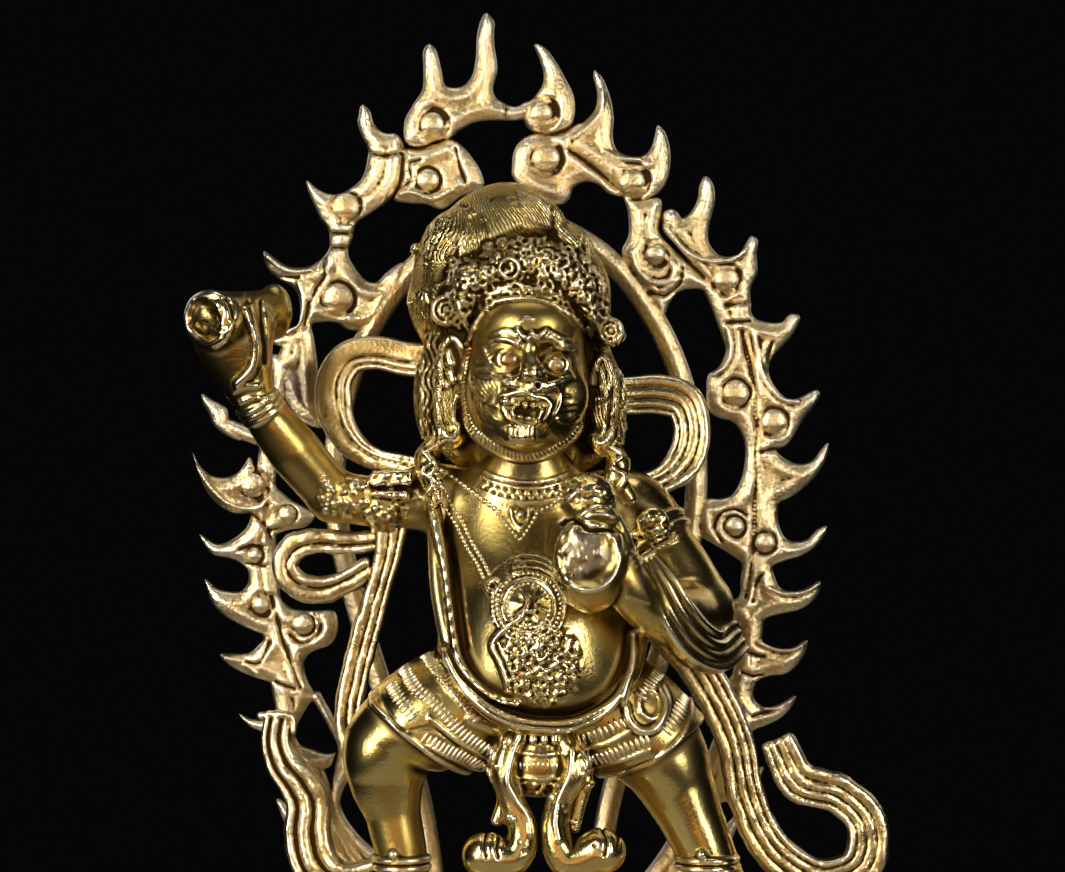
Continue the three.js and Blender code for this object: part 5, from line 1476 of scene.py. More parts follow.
@dataclass
class Torso:
    """The trunk with its ornaments, both arms and what they hold."""

    pitch: float = 0.28
    levels: tuple[Point, ...] = (
        (56, 0, 17, -11, 8), (63, 0, 21.6, -19, 11.5), (70, -0.6, 21.4, -22.4, 12), (79, -1, 20.4, -23.2, 12),
        (88, -1.8, 19, -21.2, 12), (97, -3, 17.6, -15.4, 11.8), (105, -3.8, 17, -12, 10.6),
        (111.5, -4, 12, -11, 7.6), (117, -3.5, 7.6, -11, 4),
    )
    garland: tuple[Point, ...] = (
        (-22, -5, 110), (-21.5, -10, 99), (-20.6, -14, 88), (-17, -18.5, 75), (-10.5, -21.6, 66.6),
        (-1, -22.4, 63.6), (9.6, -21, 66.4), (16.4, -17.4, 73), (19, -13, 82),
    )
    fore_arm: tuple[Point, ...] = (
        (-42, -4, 107.8), (-50, -8.4, 117.4), (-56.4, -12, 126.4), (-58.6, -12.8, 131), (-60.6, -14, 138),
        (-61, -14.4, 141.6),
    )

    def build(self) -> bpy.types.Object:
        """Builds the trunk and the arms.

        Returns:
            Them as one mesh object.
        """
        clay = Clay((-72, -37, 54), (42, 13.5, 152), self.pitch)
        self._trunk(clay)
        self._raised_arm(clay)
        self._bell_arm(clay)
        clay.calm(2)
        self._bell(clay)
        self._ornaments(clay)
        self._belly_relief(clay)
        self._hand_relief(clay)
        self._bell_relief(clay)
        self.clay = clay
        return clay.mesh("figure_torso", 185_000)

    def strung(self, strand: Strand, material: bpy.types.Material) -> list[bpy.types.Object]:
        """Lays the strings of beads over the trunk and the arms.

        Args:
            strand: the group that lays them.
            material: their material.

        Returns:
            The strings as mesh objects.
        """
        collar = ((-20.4, 113), (-15.5, 109.6), (-12, 107), (-9, 104.9))
        cross = np.array(((-22, 112), (-19.5, 106.5), (-17, 102.5), (-15, 98.5), (-13, 95.5), (-11.5, 92.6)))
        shift = np.array((0.62, 0.3))
        rows = [Row(tuple(map(tuple, cross + shift)), 0.98, 0.5, 0.5, 0.5),
                Row(tuple(map(tuple, cross - shift)), 0.98, 0.5, 0.5, 0.5),
                Row(((-9.3, 104.5), (-7, 101.8), (-5, 99.6))), Row(((-4.6, 99.8), (-3, 102), (-1.5, 104.6))),
                Row(((-10.2, 89.4), (-10.3, 87), (-10, 84))), Row(((3, 108.6), (1.6, 106.4), (-0.4, 105.4)))]
        around = np.linspace(0, 2 * math.pi, 25)
        for radius in (6.2, 4.2):
            rows.append(Row(tuple((-3.2 + radius * math.sin(a), 87 + radius * math.cos(a)) for a in around)))
        armlet = [Row(((-43.4, 112), (-42.6, 108.6), (-43.2, 105.4))), Row(((20, 96.6), (23, 98), (26, 99.6)))]
        return [strand.lay("collar_beads", self.clay, [Row(collar, 1.2, 0.62, 0.62, 0.62)], material),
                strand.lay("cross_beads", self.clay, rows, material),
                strand.lay("armlet_beads", self.clay, armlet, material)]

    def _ornaments(self, clay: Clay) -> None:
        """Adds the clasp on the shoulder and the rosettes on the armlets."""
        for x, z, half, tall in ((-32.4, 111.2, 1.2, 1.3), (-28.6, 111.6, 1.7, 1.5)):
            clay.add(Sweep([(x - half, -7.4, z), (x + half, -7.4, z)], [(tall, 1.2)] * 2, Section.FLAT), 0.3)
        clay.add(Sweep([(-33.4, -8, 108.4), (-27.4, -8, 108.2)], [0.75, 0.75]), 0.3)
        for tress, girth in ((((-21, -6.6, 119), (-23.4, -8.4, 115.6), (-22.6, -9.6, 112), (-21.4, -10.4, 107.6)),
                              (1.8, 2.5, 2.6, 1.5)),
                             (((12.6, -7, 118.4), (14.4, -8.8, 114.6), (14, -9.8, 111.4), (16.4, -9.6, 107.6)),
                              (1.6, 2.4, 2.4, 1.8))):
            clay.add(Sweep(tress, girth), 0.5)
        for x, y, z, radius in ((-37.6, -8.4, 108.2, 3.6), (21.2, -11.6, 102.6, 3.2)):
            clay.add(Ball((x, y + 1.4, z), (radius, 1.3, radius)), 0.8)

    def _belly_relief(self, clay: Clay) -> None:
        """Presses the ornaments of the chest and the belly."""
        chest = Relief(clay, (-27, 60), (20, 119))
        collar = np.array(((-17, 113.4), (-13, 111.6), (-9, 110), (-5, 109.2), (-1, 109.2), (3, 110.2), (6, 111.6)))
        for drop, half, height in ((-1.6, 0.3, 0.4), (-0.4, 0.3, 0.5), (2.3, 0.3, 0.45), (3.1, 0.22, 0.35)):
            chest.cord(collar - (0, drop), half, height)
        steps = paced(collar, 0.85)
        chest.cord([(x0, z0 - (0.3 if i % 2 else 1.7)) for i, (x0, z0) in enumerate(steps)], 0.22, 0.4, smooth=False)
        chest.rope(collar - (0, 3.9), 0.5, 0.4, 0.9, 0.2, 0.9)
        chest.cord([(-6.8, 105.6), (-6.3, 103.4), (-4.8, 101.8), (-3.4, 103.4), (-3, 105.6)], 0.34, 0.6)
        chest.cord([(-5.8, 105.6), (-5.6, 104), (-4.8, 103), (-4.1, 104), (-3.9, 105.6)], 0.25, 0.45)
        chest.dot((-4.8, 104.6), 0.9, 0.9)
        rope = [(-22.4, 106), (-21, 100), (-19.5, 94), (-18.6, 88), (-17.8, 82), (-17, 77.5), (-15.5, 74.5),
                (-13, 71.8), (-10.5, 69.9), (-8, 68.6), (-5.6, 68.2)]
        chest.rope(rope, 0.95, 1.2, 2.6, 0.3, 0.16)
        chest.groove([(x + 1.9, z + 0.4) for x, z in rope], 0.9, 0.5)
        chest.ring((-10.3, 90.8), 1.0, 0.4, 0.9)
        chest.ring((-3.2, 87), 7.1, 0.35, 0.5)
        chest.ring((-3.2, 87), 5.2, 0.4, 0.6)
        for i in range(8):
            a = 2 * math.pi * (i + 0.3) / 8
            tip = (-3.2 + 3.4 * math.sin(a), 87 + 3.4 * math.cos(a))
            chest.cord([(-3.2 + 0.8 * math.sin(a), 87 + 0.8 * math.cos(a)), tip], 0.4, 0.25, smooth=False)
        chest.cord([(-5, 85.2), (-3.6, 86.8), (-3.2, 88.2)], 0.5, 1.2)
        chest.cord([(-3.6, 86), (-2.6, 85.9), (-1.8, 86.8)], 0.4, 1.1)
        chest.ring((-5.2, 94.3), 1.2, 0.35, 0.7)
        chest.dot((-5.2, 94.3), 0.6, 0.8)
        strands(chest, [(-11.6, 91), (-8.6, 94.6), (-5, 96.4), (-0.6, 96), (2, 94.4)],
                [(-9, 91.6), (-7, 92.8), (-4.6, 93.2), (-1.6, 93), (1, 91.8)], 4, 0.42, 0.42)
        chest.cord([(-4.4, 85), (-7, 83.4), (-10.3, 79.6), (-9, 76.6), (-8, 74), (-7, 70.6)], 0.6, 1.0)
        chest.cord([(-9, 79.8), (-7.4, 76.2), (-6.2, 73.6), (-5.6, 71)], 0.38, 0.6)
        for line in (((-24.6, 117), (-22, 115), (-24.4, 113), (-22, 111), (-23, 108.6)),
                     ((-21, 118), (-23.4, 116.4), (-21.2, 114), (-22.6, 112.4), (-20.6, 110)),
                     ((12.4, 118), (15.4, 116), (13, 114), (15.6, 112), (14.8, 109.6))):
            chest.cord(line, 0.5, 0.7)
            chest.groove([(x0 + 1, z0 + 0.2) for x0, z0 in line], 0.4, 0.4)
        x, z = chest.x[:, None], chest.z[None, :]
        leafy = step(1.0, 0.75, np.hypot((x + 0.6) / 8.6, (z - 76) / 9.4)) * step(-1, 0.6, x * 0.92 + z * 0.4 - 22.6)
        lumps = np.maximum(crumble(x, z, 1.05, 11), 0) * 0.75 + np.maximum(crumble(x, z, 0.55, 12), 0) * 0.4
        chest.height += (leafy * lumps).astype(np.float32)
        chest.wash((-8, 92), (4, 104), 0.6, 0.07, 15)
        hem = [(-19.6, 77), (-17, 72), (-14, 69), (-10, 66), (-5, 64), (0, 63.3), (5, 63.5), (9, 65), (13, 67.6),
               (15.6, 71.4)]
        for lift, half in ((0.0, 0.6), (1.25, 0.4)):
            chest.cord([(x0, z0 + lift) for x0, z0 in hem], half, 0.9)
        chest.groove([(x0, z0 + 2.4) for x0, z0 in hem], 0.8, 0.4)
        chest.cord([(17, 81), (17, 76), (15.4, 70), (15.8, 66), (17.8, 63)], 0.9, 1.1)
        chest.jewels(leafy, (-10, 64), (8, 86), 90, 16, 0.8)
        chest.press(-32, -8)

    def _hand_relief(self, clay: Clay) -> None:
        """Presses the rim, the creases and the texture of the raised fist."""
        hand = Relief(clay, (-72, 118), (-48, 150))
        rim = [(-69.8, 143.4), (-68.4, 146), (-65.6, 147.2), (-62, 147.2), (-59.6, 145.4), (-59.3, 142), (-61, 139.3),
               (-64.4, 137.4), (-67, 138.6), (-69.2, 141), (-69.8, 143.4)]
        hand.cord(rim, 0.9, 0.5)
        hand.groove([(-69, 141.2), (-66.4, 139.8), (-62.4, 139.8)], 0.5, 0.4)
        hand.wash((-69, 138), (-60, 146.6), 0.9, 0.12, 21)
        hand.cord([(-68.4, 142.6), (-67.6, 144.8), (-65.4, 145.8), (-63, 145)], 0.5, 0.25)
        hand.cord([(-64.4, 140.6), (-62.4, 139.6), (-60.6, 140.4)], 0.4, 0.35)
        hand.wash((-67, 128), (-58, 137), 0.5, 0.05, 22)
        hand.cord([(-57.6, 144.6), (-56.6, 140.6), (-56, 136.6), (-57, 132.6), (-60, 129.8)], 0.95, 1.0)
        hand.groove([(-55.6, 146), (-54.9, 140), (-54.6, 134)], 0.6, 0.6)
        hand.groove([(-58.4, 147.6), (-57.4, 144.4), (-56.6, 141.6)], 0.4, 0.4)
        hand.cord([(-61, 128.4), (-58.4, 129.4), (-55.8, 129.6)], 0.6, 0.5)
        hand.beads([(-59.8, 126.2), (-57, 127.2), (-54.2, 127)], 0.5, 0.9, 0.5)
        hand.press(-30, 0)
        arm = Relief(clay, (-46, 102), (-23, 115))
        x, z = arm.x[:, None], arm.z[None, :]
        arm.jewels(step(-15, -14.4, -np.hypot((x + 34.6) / 0.72, (z - 107.4) / 0.42)), (-46, 102), (-24, 114), 130, 23, 0.5)
        arm.press(-16, -2)
        cuff = Relief(clay, (15, 94), (28, 107))
        x, z = cuff.x[:, None], cuff.z[None, :]
        cuff.jewels(step(-3.5, -3.3, -np.hypot(x - 20.8, z - 101.8)), (17, 97), (27, 107), 80, 24, 0.5)
        cuff.press(-20, -4)

    def _bell_relief(self, clay: Clay) -> None:
        """Presses the bell's rim and its crumbling mouth."""
        bell = Relief(clay, (0, 83), (28, 112))
        x, z = bell.x[:, None], bell.z[None, :]
        mouth = step(1.0, 0.8, np.hypot((x - 8) / 6.8, (z - 97.4) / 6.8))
        rough = 0.3 * crumble(x, z, 0.35, 31) + 0.2 * crumble(x, z, 1.6, 32)
        bell.height += (mouth * rough).astype(np.float32)
        bell.cord([(14.4, 101), (14.6, 98), (13.9, 95), (12.4, 92.4), (10, 90.8), (7, 90.6), (4.6, 91.8)], 0.45, 0.35)
        bell.groove([(3.4, 102.4), (4.8, 103.4), (6.6, 103.1), (8.4, 101.8), (10.6, 102), (12.8, 101.7)], 0.5, 1.1)
        bell.cord([(6.2, 104.4), (8, 105.8), (10.4, 106.6), (13, 106)], 0.35, 0.45)
        bell.cord([(7.6, 104.2), (9.6, 105.2), (12, 104.8)], 0.3, 0.3)
        bell.groove([(3.6, 106.4), (6.6, 108.2), (10, 108.6), (13, 107.6)], 0.5, 0.35)
        bell.wash((2, 106), (14, 112), 0.7, 0.14, 33)
        bell.beads([(4.2, 107.8), (6.8, 109.8), (9.4, 110.6)], 0.4, 0.9, 0.35)
        strands(bell, [(16.4, 96.8), (20.6, 99.4), (25.6, 102)], [(17.4, 95), (21.4, 97.6), (26.6, 100)], 3, 0.4, 0.5)
        strands(bell, [(14.8, 97.6), (15, 93), (15.4, 89)], [(18.6, 97.4), (18.2, 93), (20, 88)], 7, 0.35, 0.3)
        bell.press(-40, -6)

    def _trunk(self, clay: Clay) -> None:
        """Lofts the trunk through its levels."""
        rows = np.array(self.levels, float)
        line = [(x, (front + back) / 2, z) for z, x, _, front, back in rows]
        sizes = [(half, (back - front) / 2) for _, _, half, front, back in rows]
        clay.add(Trunk(line, sizes), 0)
        clay.add(Sweep(self.garland, [1.7] * len(self.garland)), 0.6)

    def _raised_arm(self, clay: Clay) -> None:
        """Models the raised arm, its fist and the sceptre in it."""
        clay.add(Sweep([(-12, 0, 105), (-23.4, 0, 107.4), (-32, -1.2, 106.6), (-42, -4, 107.8)],
                       [7.4, 7.2, 5, 5]), 2.4)
        clay.add(Sweep(self.fore_arm, [5, 5.3, (4.1, 3.9), (5.3, 4.5), (7.9, 5.4), (8.2, 5.4)]), 1.6)
        axis = np.array([-0.62, -0.78, -0.1])
        rod = [(-64.6, -19.4, 142.2), (-60, -14.5, 143), (-54.6, -8.4, 144.2)]
        clay.add(Sweep(rod, [5.2, 5, 4.4]), 0.8)
        clay.carve(Ball((-71, -27.4, 141.2), 9.2), 0.4)
        clay.add(Ring((-65.2, -20.2, 142.1), 5.0, 0.9, axis), 0.5)
        clay.add(Ball((-65.6, -18.8, 143.4), (2.8, 2.2, 2.4), (0, 0, -0.67)), 1.2)
        clay.add(Ball((-53.6, -7.4, 144.3), (3.6, 3.8, 5.6)), 0.6)
        for away in (-1.3, 0, 1.3):
            middle = np.array([-55.8, -11.6, 125.4]) + away * np.array([-0.5, -0.28, 0.82])
            clay.add(Ring(middle, 4.4, 0.5, (-0.5, -0.28, 0.82)), 0.3)
        for away in (-1.6, 0, 1.6):
            clay.add(Ring((-32.4 + away, -1.2, 106.6), 5.5, 0.8, (1, 0.1, 0)), 0.2)
        clay.add(Ball((-32.4, -6.6, 105.8), (3.4, 1.6, 3.4)), 0.4)

    def _bell_arm(self, clay: Clay) -> None:
        """Models the arm at the chest, with the drape over its elbow."""
        clay.add(Sweep([(8, 1, 105), (17, 0, 105.4), (24, -3, 97), (30, -6, 86)], [7.4, 7.6, 6.4, 7.2]), 2.4)
        clay.add(Sweep([(30, -6, 85.4), (25.6, -16, 84.6), (18.2, -24, 88.3), (15, -26.6, 92.6), (12.6, -26.4, 99)],
                       [7, 6.2, 4.8, 4.4, 3.8]), 1.6)
        drape = [(19.6, -22.4, 96), (22.4, -24.4, 91), (25.2, -23.8, 85.4), (28.8, -20.4, 80.4), (33.4, -13.6, 77.8),
                 (37.6, -6, 79.8)]
        clay.add(Sweep(drape, [(2.0, 1.4), (3.4, 1.6), (4.2, 1.8), (4.6, 2.1), (4.6, 2.4), (3.8, 2.0)],
                       Section.FLUTED, (0.3, -0.85, 0.1), 4, flute_depth=0.8), 0.4)
        for away in (-1.2, 1.2):
            middle = np.array([21.6, -2, 100]) + away * np.array([0.5, -0.2, -0.8])
            clay.add(Ring(middle, 7.2, 0.8, (0.5, -0.2, -0.8)), 0.2)

    def _bell(self, clay: Clay) -> None:
        """Models the upturned bell with its rough open mouth, and the fingers over it."""
        clay.add(Ball((8.6, -27.8, 95.6), (7.2, 7.6, 9.6)), 0.4)
        clay.add(Ball((8.2, -26.6, 107.4), (5.4, 4.6, 5.4)), 0.5)
        clay.carve(Ball((6.6, -40.4, 98.2), (12, 9.4, 9.4)), 0.4)
        clay.add(Ball((8, -30.5, 97.2), (6.5, 2.4, 6.7)), 0.3)
        clay.add(Ball((10, -30.4, 104.6), (4.0, 1.9, 1.9), (0, 0.12, 0)), 0.4)
        clay.add(Sweep([(13.4, -28.6, 104), (15.6, -27.2, 98.6), (15.8, -26, 92.6)], [1.2, 1.4, 1.6]), 0.4)


class Trunk(Form):
    """A loft of ovals along a nearly upright line, flat at its two ends."""

    def __init__(self, line: Iterable[Point], sizes: Iterable[Point]) -> None:
        """Lofts the ovals.

        Args:
            line: the ovals' middles, from the lowest up.
            sizes: their half widths and half depths.
        """
        rows = np.column_stack([np.array(list(line), float), np.array(list(sizes), float)])
        self.rows = smooth_line(rows, 8)[0]
        reach = np.column_stack([self.rows[:, 3], self.rows[:, 4], np.zeros(len(self.rows))])
        self.low, self.high = (self.rows[:, :3] - reach).min(0), (self.rows[:, :3] + reach).max(0)

    def distance(self, x: np.ndarray, y: np.ndarray, z: np.ndarray) -> np.ndarray:
        """Gives signed distances over the open grid x, y, z, negative inside."""
        height = self.rows[:, 2]
        cx, cy, half, deep = (np.interp(z, height, self.rows[:, i]) for i in (0, 1, 3, 4))
        inner = np.sqrt(((x - cx) / half) ** 2 + ((y - cy) / deep) ** 2)
        outer = np.sqrt(((x - cx) / half ** 2) ** 2 + ((y - cy) / deep ** 2) ** 2)
        side = inner * (inner - 1) / np.maximum(outer, 1e-6)
        return np.maximum(np.maximum(side, z - height[-1]), height[0] - z)


@dataclass
class Legs:
    """The skirt, both legs with their feet, and the two hanging tails."""

    pitch: float = 0.28
    left_leg: tuple[Point, ...] = ((-9, -2, 68), (-22, -7, 64.5), (-30.6, -7.6, 58), (-31.2, -7.4, 51.8), (-30, -7.2, 45),
                                   (-28.4, -7.2, 37), (-27.8, -6.4, 30))
    right_leg: tuple[Point, ...] = ((9, -2, 68), (18, -6, 62.5), (23.6, -7, 55.6), (26.4, -7, 49.8), (28.8, -7, 44.5),
                                    (32, -7.2, 37), (34.6, -6.4, 30))

    def build(self) -> bpy.types.Object:
        """Builds the legs.

        Returns:
            Them as one mesh object.
        """
        clay = Clay((-50, -27, 24), (57, 14, 84), self.pitch)
        clay.add(Ball((-1, -9, 60), (13, 8.4, 11.4)), 0)
        for leg, width, depth, toe in (
                (self.left_leg, (12, 11, 9.6, 7.7, 5.5, 5.1, 5.2), (12, 11, 7.6, 6, 5.3, 5.1, 5.2), (-31.5, -17, 28.6)),
                (self.right_leg, (12, 11, 9, 7.4, 6.4, 5.7, 5.6), (12, 11, 7.6, 6.4, 6, 5.5, 5.6), (46, -12.5, 28.6))):
            clay.add(Sweep(leg, list(zip(width, depth)), per_span=14), 1.5)
            self._foot(clay, leg[-1], toe)
        left = Sweep([(-5, -3, 68), (-19, -6.4, 65.2), (-29.6, -8, 59)], [13.9, 12.6, 11.3])
        right = Sweep([(5, -3, 68), (15, -6, 64), (24.4, -7.2, 57)], [13.9, 12.4, 10.4])
        clay.add(Cut(left, (-22, -8, 58.4), (-0.63, 0.1, -0.78)), 0.3)
        clay.add(Cut(right, (17.5, -8, 56.4), (0.484, 0.1, -0.875)), 0.3)
        clay.calm(3)
        self._anklets(clay)
        self._flap(clay)
        self._tails(clay)
        self._skirt_relief(clay)
        clay.level(Plinth.height)
        self.clay = clay
        return clay.mesh("figure_legs", 150_000)

    def strung(self, strand: Strand, material: bpy.types.Material) -> list[bpy.types.Object]:
        """Lays the rows of short strokes on the skirt, and the beads by the tails.

        Args:
            strand: the group that lays them.
            material: their material.

        Returns:
            The rows as mesh objects.
        """
        left = [Row(points, 1.0, 1.7, 0.42, 0.5, 0.05) for points in (
            ((-26, 79.6), (-22.8, 76), (-19, 72), (-15.8, 68.4), (-13.2, 65)),
            ((-29.6, 76.6), (-25.4, 71), (-21, 67.4), (-16, 62), (-10, 57.6)),
            ((-30.2, 71), (-28, 68), (-25.6, 65.4)),
            ((-23.4, 61.4), (-19, 58.6), (-14.4, 56.2), (-10.6, 53.6)))]
        right = [Row(points, 1.08, 1.8, 0.44, 0.5, 0.05) for points in (
            ((6.4, 60.8), (9, 61.4), (12, 62.6), (15, 64.2)), ((7.4, 56), (11.6, 57), (16, 59), (20, 60.6)),
            ((18.6, 69.2), (20.6, 71.6), (23.4, 74)), ((23.4, 62.6), (25.4, 64.8), (27.6, 68.4)))]
        flap = [Row(((-4.8, 56), (-1.4, 56.2), (2.2, 56)), 0.85, 0.9, 0.28, 0.4, 0.05)]
        beads = [Row(((-6.9, 46.4), (-6.1, 46)), 0.8, 0.9, 0.9, 0.9), Row(((5.2, 45), (5.9, 44.8)), 0.8)]
        return [strand.lay("skirt_strokes_left", self.clay, left, material),
                strand.lay("skirt_strokes_right", self.clay, right, material),
                strand.lay("flap_strokes", self.clay, flap, material),
                strand.lay("tail_beads", self.clay, beads, material)]

    def _anklets(self, clay: Clay) -> None:
        """Sets two thin rings and a bead round each ankle."""
        for leg, girth in ((self.left_leg, 5.3), (self.right_leg, 5.9)):
            x, y, z = leg[-2]
            for rise in (-2.2, -0.6):
                clay.add(Ring((x, y, z + rise), girth, 0.7, UP), 0.2)
            clay.add(Ball((x - 1.4, y - girth, z + 0.8), (1.1, 1, 1.1)), 0.3)

    def _flap(self, clay: Clay) -> None:
        """Hangs the ribbed flap between the tails, and the folds behind them."""
        clay.add(Ball((-0.8, -17.4, 56), (5.4, 3.4, 6.4)), 0.5)
        for x in (-4.6, -2.4, -0.2, 1.8):
            clay.add(Sweep([(x, -19.6, 62.8), (x, -20, 60.8)], [(0.8, 0.8)] * 2), 0.2)
        clay.add(Sweep([(-8.4, -15.6, 61.4), (-9.4, -16.8, 55), (-8, -17, 49.6), (-9.4, -17.4, 45)],
                       [(1.5, 1.2), (1.7, 1.2), (1.5, 1.2), (1.2, 1)]), 0.4)
        clay.add(Sweep([(6.6, -15.6, 60), (7.6, -16.6, 53), (6.4, -17, 48), (5.6, -17.4, 43.6)],
                       [(1.5, 1.2), (1.7, 1.2), (1.5, 1.2), (1.2, 1)]), 0.4)
        clay.add(Ring((-6.5, -18.6, 46.2), 1.7, 0.55), 0.2)

    def _skirt_relief(self, clay: Clay) -> None:
        """Presses the hems, the rails of the stroke rows and the lines of the tails."""
        skirt = Relief(clay, (-42, 34), (34, 83))
        for half, height, points in (
                (0.6, 0.6, ((-34, 67.6), (-30, 64.2), (-25, 60), (-20, 56.2), (-15, 52.8), (-11, 50.4))),
                (0.6, 0.6, ((8, 51.8), (14, 53.2), (20, 55.8), (25, 59.6), (28, 63.4), (29, 68))),
                (0.4, 0.5, ((-21.4, 73.8), (-17.4, 69.2), (-14.4, 65.2))),
                (0.4, 0.5, ((-22.4, 65.2), (-18, 61.4), (-12, 57), (-9.6, 56))),
                (0.4, 0.5, ((-23.4, 60), (-18, 56.8), (-12.4, 53.4))),
                (0.4, 0.4, ((-20.4, 76), (-16, 71), (-12.4, 66.6))),
                (1.5, 0.7, ((-14.2, 65), (-11, 63.4), (-8, 61.6))),
                (0.4, 0.4, ((7, 58.4), (12, 60), (16.4, 62.4))), (0.4, 0.4, ((7.4, 54.4), (12, 55.4), (20, 58.8))),
                (0.9, 1.0, ((15.6, 67.4), (16.4, 64.4), (18.4, 62.6), (21, 62.8), (23, 65), (23.8, 68), (22.8, 70.8))),
                (0.45, 0.6, ((18.6, 66), (18.4, 69), (20, 70.6), (22, 69.4), (22.4, 66.6), (20.8, 64.8), (18.6, 66)))):
            skirt.cord(points, half, height)
        for points in (((-20.6, 78), (-17.6, 73.6), (-14.4, 70), (-10.6, 67)), ((-26.4, 62.6), (-22, 63.2), (-17, 59.4)),
                       ((-33, 70), (-28, 62.8), (-24, 58.6))):
            skirt.groove(points, 0.5, 0.3)
        for z in (53.6, 52.6, 58.4):
            skirt.cord([(-5, z), (-1, z - 0.2), (3, z)], 0.32, 0.4)
        skirt.wash((-5, 49.6), (3, 52.4), 0.9, 0.4, 41)
        skirt.wash((-5, 57), (3, 60.4), 0.5, 0.12, 42)
        skirt.cord([(-5, 62.4), (-6.6, 57), (-7.2, 52.6), (-5.2, 49.2), (-3.2, 46.4), (-2.8, 43)], 0.7, 0.5)
        skirt.cord([(5.4, 59.4), (4.4, 54), (2.6, 49.6), (2, 45.4), (2.6, 42)], 0.7, 0.45)
        for points in (((-11.4, 43), (-11.8, 41), (-11.4, 38.8)), ((-9, 42), (-9.4, 40.4), (-9, 38.6)),
                       ((11, 43.6), (11.8, 41.6), (11.4, 39)), ((13, 44), (14, 42.4), (13.8, 40.4))):
            skirt.groove(points, 0.45, 0.8)
        for spot in ((-7, 41.4), (-5, 41.6), (-4, 39.6), (3.8, 47), (4.2, 44.6), (3, 48.8), (9.6, 41), (10.4, 39.8)):
            skirt.pit(spot, 0.5, 0.4)
        skirt.press(-28, -4)

    def _foot(self, clay: Clay, heel: Point, toe: Point) -> None:
        """Models a foot and its toes."""
        x, y, _ = heel
        sole = [(x, y + 3, 29.6), (x, y, 29.4), toe]
        clay.add(Sweep(sole, [(4.6, 4.4), (5, 4.6), (5.4, 3)], front=UP), 1.2)
        ahead = unit(np.array([toe[0] - x, toe[1] - y, 0.0]))
        aside = np.array([-ahead[1], ahead[0], 0.0])
        for i in range(5):
            spot = np.array(toe) + ahead * (3.6 - 0.5 * abs(i - 1.4)) + aside * (i - 2) * 2.2 + np.array([0, 0, -0.9])
            clay.add(Ball(spot, (1.3, 1.5, 1.3)), 0.4)

    def _tails(self, clay: Clay) -> None:
        """Hangs the two tails with paws between the legs."""
        left = [(-4.5, -17.6, 62.5), (-7.8, -19.6, 57.1), (-6.5, -19.6, 49.3), (-4.3, -19.6, 43), (-6.2, -19.6, 38.4),
                (-11.4, -19.6, 38.6)]
        right = [(2.8, -17.6, 62.5), (5.7, -19.6, 55.2), (2.8, -19.6, 49.3), (1.9, -19.6, 42.4), (4.4, -19.6, 37.6),
                 (10.8, -19.6, 39.4)]
        for line in (left, right):
            clay.add(Sweep(line, [2.2, 2.5, 2.5, 2.9, 3.6, 4]), 0.6)
            clay.add(Ball(line[-1], (4.8, 4, 4.6)), 0.8)


